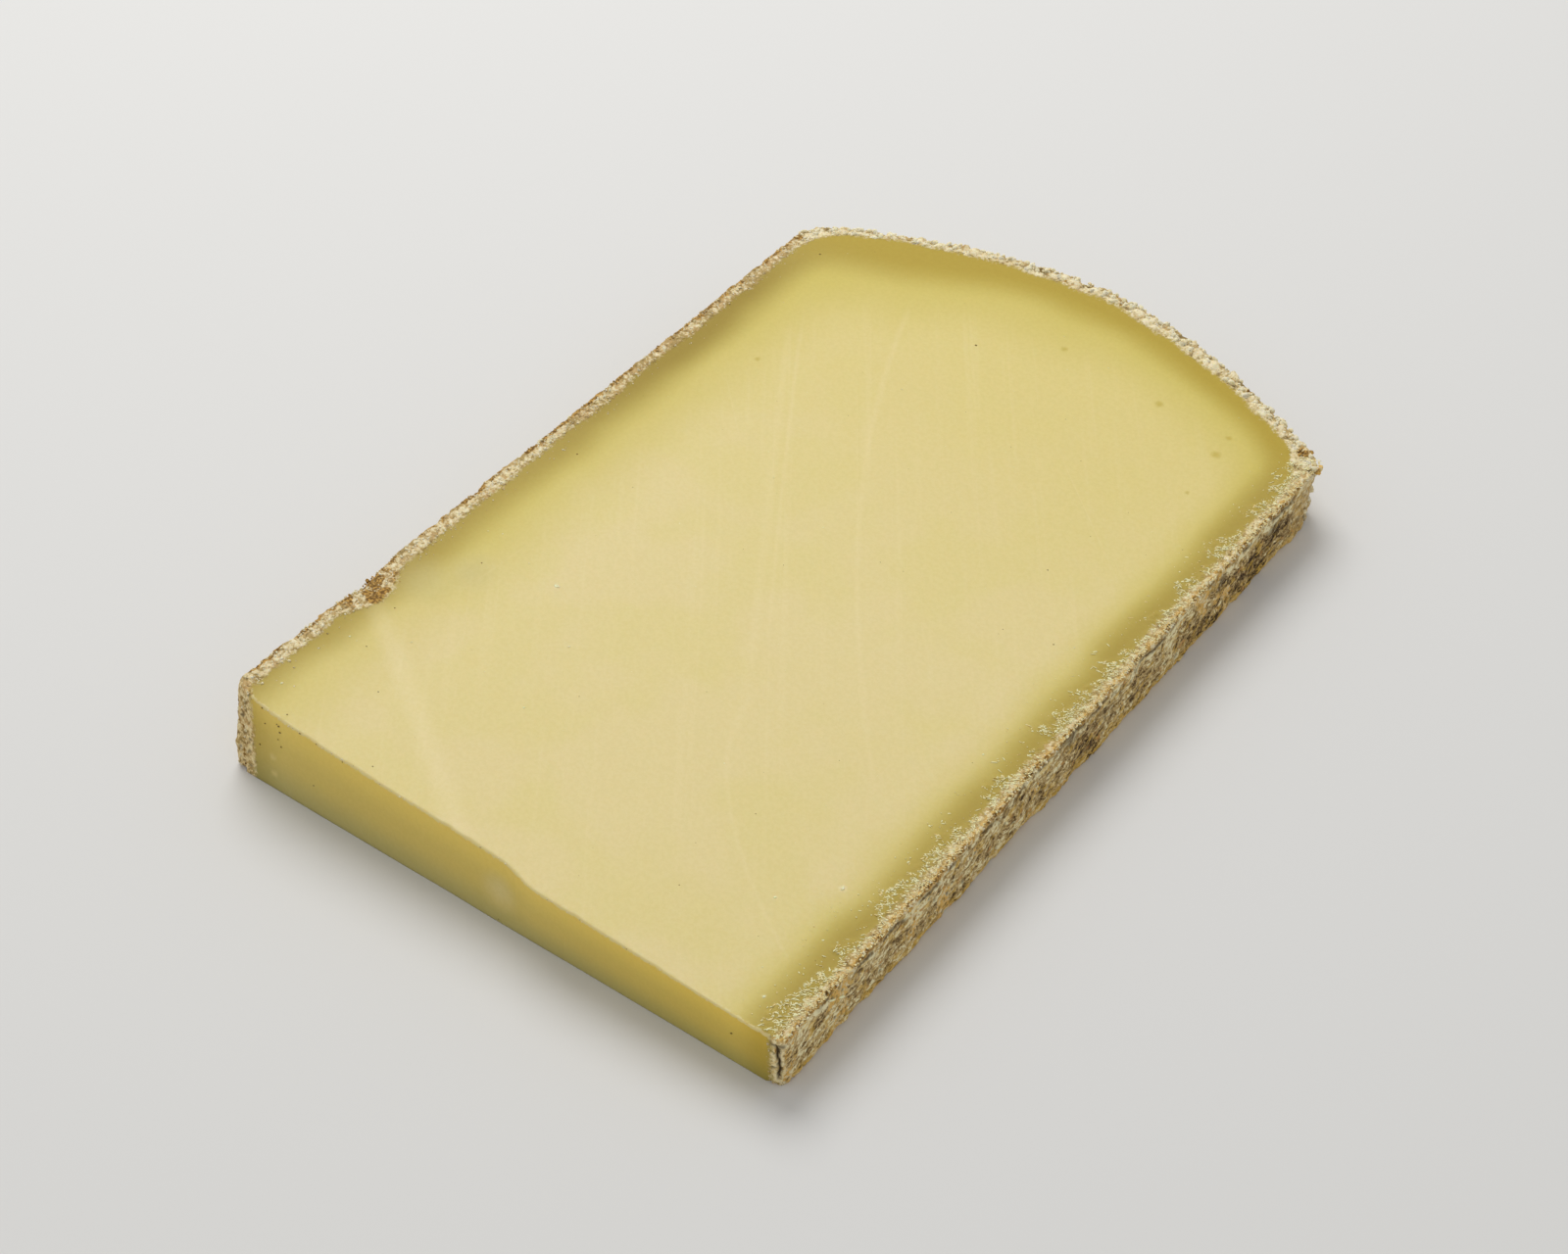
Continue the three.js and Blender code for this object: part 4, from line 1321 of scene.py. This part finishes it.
draw = np.random.default_rng(11)
heel_start, heel_stop = along_back_right - HEEL_OVERLAP, along_back_left + HEEL_OVERLAP
rim_along = draw.uniform(heel_start, heel_stop, HEEL_RIM_CRUMBS)
rim_inset = draw.uniform(*HEEL_RIM_INSETS, HEEL_RIM_CRUMBS)
x, y = outline_at(rim_along)
out_x, out_y = way_out(x, y, CORE_INSET)
rim_sizes = crumb_sizes(draw, HEEL_RIM_CRUMBS, *HEEL_RIM_SIZES) * HEEL_RIM_FLATNESS
rim_crumbs = np.column_stack([x - rim_inset * out_x, y - rim_inset * out_y, np.zeros(HEEL_RIM_CRUMBS)])
rim_crumbs[:, 2] = (
    cut_height(rim_crumbs[:, 0], rim_crumbs[:, 1])
    - HEEL_RIM_SINK * rim_sizes[:, 2] - HEEL_RIM_DROP * smooth(rim_inset, 0.4, -0.2))

face_along = draw.uniform(heel_start, heel_stop, HEEL_FACE_CRUMBS)
x, y = outline_at(face_along)
out_x, out_y = way_out(x, y, CORE_INSET)
face_inset = draw.uniform(*HEEL_FACE_INSETS, HEEL_FACE_CRUMBS)
face_crumbs = np.column_stack([x - face_inset * out_x, y - face_inset * out_y, np.zeros(HEEL_FACE_CRUMBS)])
face_crumbs[:, 2] = draw.uniform(*HEEL_FACE_HEIGHTS, HEEL_FACE_CRUMBS) * cut_height(x, y)

# A golden crumb and its rusty foot stand out of the crust at the thin side's heel corner.
TOOTH_CRUMBS = np.array([(53.35, 65.4, 11.25), (53.1, 65.1, 10.5)])
TOOTH_SIZES = np.array([(0.5, 0.36, 0.5), (0.55, 0.5, 0.45)])

heel_crumbs = np.vstack([rim_crumbs, face_crumbs, TOOTH_CRUMBS])
heel_count = len(heel_crumbs)
tooth = np.arange(heel_count) >= heel_count - len(TOOTH_CRUMBS)
rusty_here = bump(np.hypot(heel_crumbs[:, 0] - 49.2, heel_crumbs[:, 1] - 67.0), 2.0) > 0.4
heel_mesh = lumps_mesh(
    "heel_crumbs", heel_crumbs,
    np.vstack([rim_sizes, crumb_sizes(draw, HEEL_FACE_CRUMBS, *HEEL_FACE_SIZES), TOOTH_SIZES]),
    any_turns(draw, heel_count), 0.11, draw, 6, 9, broken=0.1,
    creamy=np.where(tooth, 0.0, creaminess(*heel_crumbs[:, :2].T) + draw.normal(0, 0.06, heel_count)),
    golden=1.0 * tooth,
    rust=np.maximum(0.7 * (draw.random(heel_count) > 0.99), 0.9 * rusty_here))
add_piece("heel_crumbs", heel_mesh, crumb_finish)

# ---------------------------------------------------------------------------------------------
# Side crumbs: fine crumbs along the upper edges of both long sides, on the two ends of the crust that
# the bare end shows, and a few dragged along the bare end's upper edge. They are rusty in the torn
# place and just inside the outer edge.
# ---------------------------------------------------------------------------------------------
SIDE_ENDS = (END_CUT + 1.5, TURN_Y + 4)
SIDE_CRUMBS = 1900
SIDE_INSET = 0.4
SIDE_REACH = 3.6
SIDE_SIZES = (0.1, 0.32)
STRAY_CRUMBS = 260
STRAY_INSET = 2.0
STRAY_REACH = 3.4
STRAY_SHRINK = 0.55
TORN_SHIFT = 0.8
END_CRUMBS = 110
END_BAND = (0.5, 3.2)
END_SIZES = (0.08, 0.26)
EDGE_CRUMBS = 60
EDGE_SIZES = (0.05, 0.16)
THIN_RIM_CRUMBS = 750
THIN_RIM_ENDS = (END_CUT + 1.0, TURN_Y + 2)
THIN_RIM_INSETS = (0.1, 1.5)
THIN_RIM_SIZES = (0.09, 0.28)

side_y = draw.uniform(*SIDE_ENDS, SIDE_CRUMBS)
side_x = LEFT + SIDE_INSET + SIDE_REACH * draw.random(SIDE_CRUMBS) ** 1.2
in_crust = crust_margin(side_x, side_y) + draw.normal(0, 0.4, SIDE_CRUMBS) > 0
side_x, side_y = side_x[in_crust], side_y[in_crust]
stray_y = draw.uniform(*SIDE_ENDS, STRAY_CRUMBS)
stray_x = LEFT + STRAY_INSET + STRAY_REACH * draw.random(STRAY_CRUMBS) ** 2
side_x, side_y = np.concatenate([side_x, stray_x]), np.concatenate([side_y, stray_y])
side_count = len(side_x)
torn_here = bump(side_y - SCAR_Y, SCAR_HALF_LENGTH)
side_rust = np.maximum(
    bump(side_x - LEFT - 0.7, 0.7) * smooth(hills(side_y / 2.6, 7.0 + 0 * side_y), 0.4, 0.7),
    1.3 * torn_here * smooth(hills(side_x / 1.3, side_y / 1.3), 0.4, 0.6))
side_x = side_x + TORN_SHIFT * torn_here * np.exp(LEFT - side_x)
side_sizes = crumb_sizes(draw, side_count, *SIDE_SIZES)
side_sizes[-STRAY_CRUMBS:] *= STRAY_SHRINK
side_sink = draw.uniform(0.1, 0.7, side_count) * side_sizes[:, 2]
side_crumbs = np.column_stack([
    side_x, lean_back(side_x, side_y, 1.0), cut_height(side_x, side_y) - side_sink])

end_x = draw.uniform(*END_BAND, 2 * END_CRUMBS)
end_x = np.where(np.arange(2 * END_CRUMBS) < END_CRUMBS, LEFT + end_x, RIGHT - 0.85 * end_x)
end_share = draw.uniform(0.04, 0.95, 2 * END_CRUMBS)
end_y = lean_back(end_x, END_CUT + draw.uniform(0.02, 0.25, 2 * END_CRUMBS), end_share)
corner_round = np.clip(END_CORNER_RADIUS - (WIDTH / 2 - np.abs(end_x)), 0, None)
end_crumbs = np.column_stack([end_x, end_y + 0.45 * corner_round, end_share * cut_height(end_x, end_y)])
end_crumbs = end_crumbs[np.abs(RIGHT - EDGE_CRACK_INSET - 1.7 - end_x) > 0.5]
end_sizes = crumb_sizes(draw, len(end_crumbs), *END_SIZES)

edge_x = LEFT + 3 + (WIDTH - 6) * draw.random(EDGE_CRUMBS) ** 1.5
edge_y = END_CUT + draw.uniform(-0.05, 0.3, EDGE_CRUMBS)
edge_crumbs = np.column_stack([edge_x, lean_back(edge_x, edge_y, 1.0), cut_height(edge_x, edge_y) - 0.12])
edge_sizes = crumb_sizes(draw, EDGE_CRUMBS, *EDGE_SIZES)

rim_y = draw.uniform(*THIN_RIM_ENDS, THIN_RIM_CRUMBS)
rim_x = RIGHT - draw.uniform(*THIN_RIM_INSETS, THIN_RIM_CRUMBS)
rim_sizes = crumb_sizes(draw, THIN_RIM_CRUMBS, *THIN_RIM_SIZES)
thin_rim_crumbs = np.column_stack([
    rim_x, lean_back(rim_x, rim_y, 1.0),
    cut_height(rim_x, rim_y) - 0.1 * rim_sizes[:, 2] - 0.12 * smooth(RIGHT - rim_x, 0.6, 0.1)])

fine_crumbs = np.vstack([side_crumbs, end_crumbs, edge_crumbs, thin_rim_crumbs])
fine_count = len(fine_crumbs)
rim_tint = draw.random(THIN_RIM_CRUMBS)
fine_mesh = lumps_mesh(
    "side_crumbs", fine_crumbs, np.vstack([side_sizes, end_sizes, edge_sizes, rim_sizes]),
    any_turns(draw, fine_count), 0.12, draw, 5, 7, broken=0.16,
    creamy=creaminess(*fine_crumbs[:, :2].T) + draw.normal(0.05, 0.12, fine_count) + np.concatenate([
        np.zeros(fine_count - THIN_RIM_CRUMBS), 0.35 * (rim_tint < 0.5)]),
    golden=np.concatenate([np.zeros(fine_count - THIN_RIM_CRUMBS), rim_tint > 0.5]),
    rust=np.concatenate([
        side_rust, 0.8 * (draw.random(len(end_crumbs)) > 0.85), np.zeros(EDGE_CRUMBS), rim_tint > 0.7]))
add_piece("side_crumbs", fine_mesh, crumb_finish)

# ---------------------------------------------------------------------------------------------
# Shreds along the thin side: the knife left the cut here, and it dragged thin pale shreds of crust
# in over the paste. They lie in slanting tongues, with loose dust beyond.
# ---------------------------------------------------------------------------------------------
SHRED_TRIES = 18000
SHRED_LIMIT = 5000
SHRED_INSET = 0.15
SHRED_REACH = 6.5
SHRED_SPREAD = math.radians(38)
SHRED_LENGTH_GAMMA = (2.4, 0.1)
SHRED_HALF_LENGTHS = (0.1, 0.65)
SHRED_HALF_WIDTHS = (0.05, 0.13)
SHRED_HALF_HEIGHTS = (0.02, 0.04)
SHRED_LIFTS = (-0.02, 0.05)
LONE_SHRED_SHARE = 0.02
DUST_GRAINS = 190
DUST_INSET = 3.0
DUST_REACH = 6.0
DUST_SIZES = (0.05, 0.11)
DUST_LIFT = 0.03

shred_y = draw.uniform(END_CUT + 0.6, SHOULDER_Y - 2.0, SHRED_TRIES)
shred_inset = SHRED_INSET + SHRED_REACH * draw.random(SHRED_TRIES) ** 1.2
inside = tongue_margin(RIGHT - shred_inset, shred_y) + draw.normal(0, 0.35, SHRED_TRIES)
clumped = hills(shred_inset / 0.9, shred_y / 1.1) + 0.3 * smooth(inside, 0.5, 2.5) > 0.5
lone = draw.random(SHRED_TRIES) < LONE_SHRED_SHARE
keep = np.flatnonzero(((inside > 0) & clumped) | lone)[:SHRED_LIMIT]
shred_y, shred_inset = shred_y[keep], shred_inset[keep]
shred_x = RIGHT - shred_inset
shred_count = len(shred_x)
outer = smooth(shred_inset, 1.6, 0.4)
shred_halves = np.column_stack([
    draw.gamma(*SHRED_LENGTH_GAMMA, shred_count).clip(*SHRED_HALF_LENGTHS) * (1 - 0.4 * outer),
    draw.uniform(*SHRED_HALF_WIDTHS, shred_count), draw.uniform(*SHRED_HALF_HEIGHTS, shred_count)])
shred_middles = np.column_stack([
    shred_x, lean_back(shred_x, shred_y, 1.0),
    cut_height(shred_x, shred_y) + cut_lift(shred_x, shred_y) + draw.uniform(*SHRED_LIFTS, shred_count)])
shred_turns = turned(
    SHRED_BEARING + SHRED_SPREAD * draw.standard_normal(shred_count),
    draw.normal(0, 0.12, shred_count), draw.normal(0, 0.5, shred_count))

dust_y = draw.uniform(END_CUT + 0.8, SHOULDER_Y - 1.0, DUST_GRAINS)
dust_x = RIGHT - (DUST_INSET + DUST_REACH * draw.random(DUST_GRAINS) ** 1.5)
dust = np.column_stack([
    dust_x, lean_back(dust_x, dust_y, 1.0), cut_height(dust_x, dust_y) + DUST_LIFT])
dust_halves = crumb_sizes(draw, DUST_GRAINS, *DUST_SIZES)

# One long pale shred is smeared down the thin side's face, near its front edge.
SMEAR = np.array([(53.1, -72.4, 8.0), (53.1, -70.2, 6.5), (53.1, -68.0, 5.0)])
SMEAR_HALVES = np.array([(1.2, 0.2, 0.14), (1.1, 0.24, 0.14), (1.2, 0.17, 0.12)])
SMEAR_PITCH = math.radians(37)

smear_count = len(SMEAR)
quarter_turns = np.full(smear_count, math.pi / 2)
smear_turns = turned(quarter_turns, np.full(smear_count, SMEAR_PITCH), quarter_turns)
shred_mesh = lumps_mesh(
    "torn_shreds", np.vstack([shred_middles, dust, SMEAR]),
    np.vstack([shred_halves, dust_halves, SMEAR_HALVES]),
    np.concatenate([shred_turns, any_turns(draw, DUST_GRAINS), smear_turns]), 0.1, draw, 4, 6, bow=0.25,
    tint=np.concatenate([
        draw.random(shred_count), draw.uniform(0.5, 1.0, DUST_GRAINS), np.ones(smear_count)]),
    golden=np.concatenate([
        0.5 * outer * draw.random(shred_count), draw.uniform(0.0, 0.4, DUST_GRAINS),
        np.zeros(smear_count)]))

SHRED_PALE = linear(255, 238, 190, CUT_LIGHT)
SHRED_STRAW = linear(238, 212, 144, CUT_LIGHT)
SHRED_GOLD = linear(236, 194, 108, CUT_LIGHT)

shred_finish, tree, surface = new_material("shred")
place = object_place(tree)
fleck = noise(tree, stretch(tree, place, (0.5, 0.5, 0.5)), 2.0, 0.6)
tint = reckon(tree, "MULTIPLY_ADD", fleck, 0.7, reckon(tree, "MULTIPLY", read_mask(tree, "tint"), 0.8))
shred_colour = blend_colours(tree, step_up(tree, tint, 0.3, 0.8), SHRED_STRAW, SHRED_PALE)
shred_colour = blend_colours(tree, read_mask(tree, "golden"), shred_colour, SHRED_GOLD)
feed(tree, surface, "Base Color", shred_colour)
surface.inputs["Roughness"].default_value = 0.75
surface.inputs["Specular IOR Level"].default_value = 0.2
surface.inputs["Subsurface Weight"].default_value = 0.08
surface.inputs["Subsurface Radius"].default_value = (1.0, 0.85, 0.5)
surface.inputs["Subsurface Scale"].default_value = 0.3 * MM
raise_surface(tree, surface, fleck, 0.05, 0.5)
add_piece("torn_shreds", shred_mesh, shred_finish)

# ---------------------------------------------------------------------------------------------
# Ripening crystals: hard white grains of the ripe paste. They lie level with the cut, and the
# knife has smeared the largest a little.
# ---------------------------------------------------------------------------------------------
CRYSTALS = np.array([
    (36.9, -63.9, 0.26), (43.5, -56.7, 0.42), (46.2, -78.8, 0.26), (-28.1, -34.7, 0.5), (-47.2, -76.6, 0.26),
    (-46.0, -62.9, 0.2), (-37.7, -58.0, 0.18), (-18.0, -43.8, 0.2), (44.9, -22.9, 0.2), (-45.3, -75.9, 0.16),
    (-16.6, 7.0, 0.2), (-15.0, -57.8, 0.2), (-13.0, 38.5, 0.2)])
FINE_CRYSTALS = 55
FINE_CRYSTAL_SIZES = (0.06, 0.11)
CRYSTAL_LIFT = 0.02
CRYSTAL_WHITE = linear(246, 236, 200, CUT_LIGHT)

draw = np.random.default_rng(29)
fine_crystals = np.column_stack([
    draw.uniform(LEFT + 6, RIGHT - 5, FINE_CRYSTALS), draw.uniform(END_CUT + 6, SHOULDER_Y, FINE_CRYSTALS),
    draw.uniform(*FINE_CRYSTAL_SIZES, FINE_CRYSTALS)])
crystals = np.vstack([CRYSTALS, fine_crystals])
crystal_count = len(crystals)
crystal_middles = np.column_stack([
    crystals[:, :2], cut_height(*crystals[:, :2].T) + cut_lift(*crystals[:, :2].T) + CRYSTAL_LIFT])
crystal_halves = np.column_stack([
    crystals[:, 2], crystals[:, 2] * draw.uniform(0.6, 1.0, crystal_count), 0.04 + 0.05 * crystals[:, 2]])
crystal_mesh = lumps_mesh(
    "ripe_crystals", crystal_middles, crystal_halves,
    turned(draw.uniform(0, 2 * np.pi, crystal_count), np.zeros(crystal_count), np.zeros(crystal_count)),
    0.09, draw, 6, 12, broken=0.05)
crystal_finish, tree, surface = new_material("crystal")
place = object_place(tree)
speckle = noise(tree, stretch(tree, place, (0.25, 0.25, 0.25)), 2.0)
crystal_colour = blend_colours(tree, step_up(tree, speckle, 0.4, 0.6), STRAW_PINK, CRYSTAL_WHITE)
feed(tree, surface, "Base Color", crystal_colour)
feed(tree, surface, "Roughness", step_up(tree, speckle, 0.3, 0.7, 0.5, 0.7))
surface.inputs["Specular IOR Level"].default_value = 0.3
surface.inputs["Subsurface Weight"].default_value = 0.3
surface.inputs["Subsurface Scale"].default_value = 0.5 * MM
raise_surface(tree, surface, speckle, 0.05, 0.5)
add_piece("ripe_crystals", crystal_mesh, crystal_finish)

# ---------------------------------------------------------------------------------------------
# Dark specks: bits of rind and mould that the knife pressed into the upper cut and the bare end.
# ---------------------------------------------------------------------------------------------
CUT_SPECKS = np.array([
    (-9.7, 56.3, 0.2), (-46.2, 60.2, 0.18), (40.7, 3.0, 0.14), (30.9, 16.5, 0.13), (24.8, -70.5, 0.1),
    (-34.5, -68.9, 0.12), (-42.5, -62.9, 0.13), (-24.8, -80.6, 0.12), (-49.1, -64.6, 0.16),
    (-42.0, -80.8, 0.14), (-40.9, -38.0, 0.13), (-44.8, -54.0, 0.12), (-45.7, -8.6, 0.15)])
END_SPECKS = np.array([
    (-46.3, 14.4, 0.18), (-45.7, 11.8, 0.12), (-43.0, 13.2, 0.12), (-42.6, 13.0, 0.2), (-42.4, 11.9, 0.17),
    (-42.9, 10.3, 0.13), (-47.1, 7.0, 0.17), (-42.3, 9.2, 0.14), (-37.9, 14.3, 0.15), (-34.5, 14.1, 0.13),
    (-29.2, 13.6, 0.1), (1.3, 0.5, 0.15), (44.4, 6.0, 0.17), (-35.6, 5.4, 0.14)])
FINE_SPECKS = 40
FINE_SPECK_SIZES = (0.04, 0.08)
SPECK_LENGTHENING = 1.15
SPECK_NARROWING = 0.85
SPECK_HALF_HEIGHT = 0.05
SPECK_BROWN = linear(140, 114, 58, CUT_LIGHT)
SPECK_DARK = linear(92, 72, 36, CUT_LIGHT)

fine_specks = np.column_stack([
    draw.uniform(LEFT + 6, RIGHT - 5, FINE_SPECKS), draw.uniform(END_CUT + 4, SHOULDER_Y, FINE_SPECKS),
    draw.uniform(*FINE_SPECK_SIZES, FINE_SPECKS)])
cut_specks = np.vstack([CUT_SPECKS, fine_specks])
speck_sizes = np.concatenate([cut_specks[:, 2], END_SPECKS[:, 2]])
speck_count = len(speck_sizes)
end_level = END_SPECKS[:, 1] / cut_height(END_SPECKS[:, 0], END_CUT)
speck_middles = np.vstack([
    np.column_stack([cut_specks[:, :2], cut_height(*cut_specks[:, :2].T) + cut_lift(*cut_specks[:, :2].T)]),
    np.column_stack([
        END_SPECKS[:, 0], lean_back(END_SPECKS[:, 0], END_CUT, end_level) - 0.02, END_SPECKS[:, 1]])])
speck_halves = np.column_stack([
    SPECK_LENGTHENING * speck_sizes, SPECK_NARROWING * speck_sizes, np.full(speck_count, SPECK_HALF_HEIGHT)])
on_end = np.arange(speck_count) >= len(cut_specks)
speck_mesh = lumps_mesh(
    "dark_specks", speck_middles, speck_halves,
    turned(draw.uniform(-0.5, 0.5, speck_count), np.zeros(speck_count), on_end * math.pi / 2),
    0.1, draw, 5, 9, broken=0.08)
speck_finish, tree, surface = new_material("speck")
place = object_place(tree)
speckle = noise(tree, stretch(tree, place, (0.15, 0.15, 0.15)), 2.0)
speck_colour = blend_colours(tree, step_up(tree, speckle, 0.4, 0.6), SPECK_DARK, SPECK_BROWN)
feed(tree, surface, "Base Color", speck_colour)
feed(tree, surface, "Roughness", step_up(tree, speckle, 0.3, 0.7, 0.9, 0.7))
surface.inputs["Specular IOR Level"].default_value = 0.2
raise_surface(tree, surface, speckle, 0.05, 0.5)
add_piece("dark_specks", speck_mesh, speck_finish)

# ---------------------------------------------------------------------------------------------
# The surface that it lies on: a plain pale table top, level with the foot of the slice, large
# enough to fill the view. It isn't part of the slice.
# ---------------------------------------------------------------------------------------------
FLOOR_HALF_SIZE = 3.0
FLOOR_PALE = linear(225, 224, 221)

floor_corners = np.array([(-1, -1, 0), (1, -1, 0), (1, 1, 0), (-1, 1, 0)]) * FLOOR_HALF_SIZE / MM
floor_mesh = make_mesh("floor", floor_corners, [np.array([[0, 1, 2, 3]])])
floor_material, tree, surface = new_material("pale_table")
surface.inputs["Base Color"].default_value = FLOOR_PALE
surface.inputs["Roughness"].default_value = 0.7
floor = bpy.data.objects.new("floor", floor_mesh)
floor_mesh.materials.append(floor_material)
scene.collection.objects.link(floor)

# ---------------------------------------------------------------------------------------------
# Studio light: a large soft box high over the slice's far left, and an even pale surround that
# fills the shadows.
# ---------------------------------------------------------------------------------------------
LAMP_SIZE = 0.7
LAMP_POWER = 6.2
LAMP_PLACE = Vector((-0.5, 0.4, 0.85))
SURROUND = 0.52

lamp_data = bpy.data.lights.new("soft_box", "AREA")
lamp_data.shape = "DISK"
lamp_data.size = LAMP_SIZE
lamp_data.energy = LAMP_POWER
lamp = bpy.data.objects.new("soft_box", lamp_data)
lamp.matrix_world = Matrix.Translation(LAMP_PLACE) @ (
    -LAMP_PLACE).to_track_quat("-Z", "Y").to_matrix().to_4x4()
scene.collection.objects.link(lamp)

surround = bpy.data.worlds.new("surround")
surround.use_nodes = True
surround.node_tree.nodes["Background"].inputs["Color"].default_value = (1.0, 1.0, 1.0, 1.0)
surround.node_tree.nodes["Background"].inputs["Strength"].default_value = SURROUND
scene.world = surround
scene.view_settings.view_transform = "Standard"
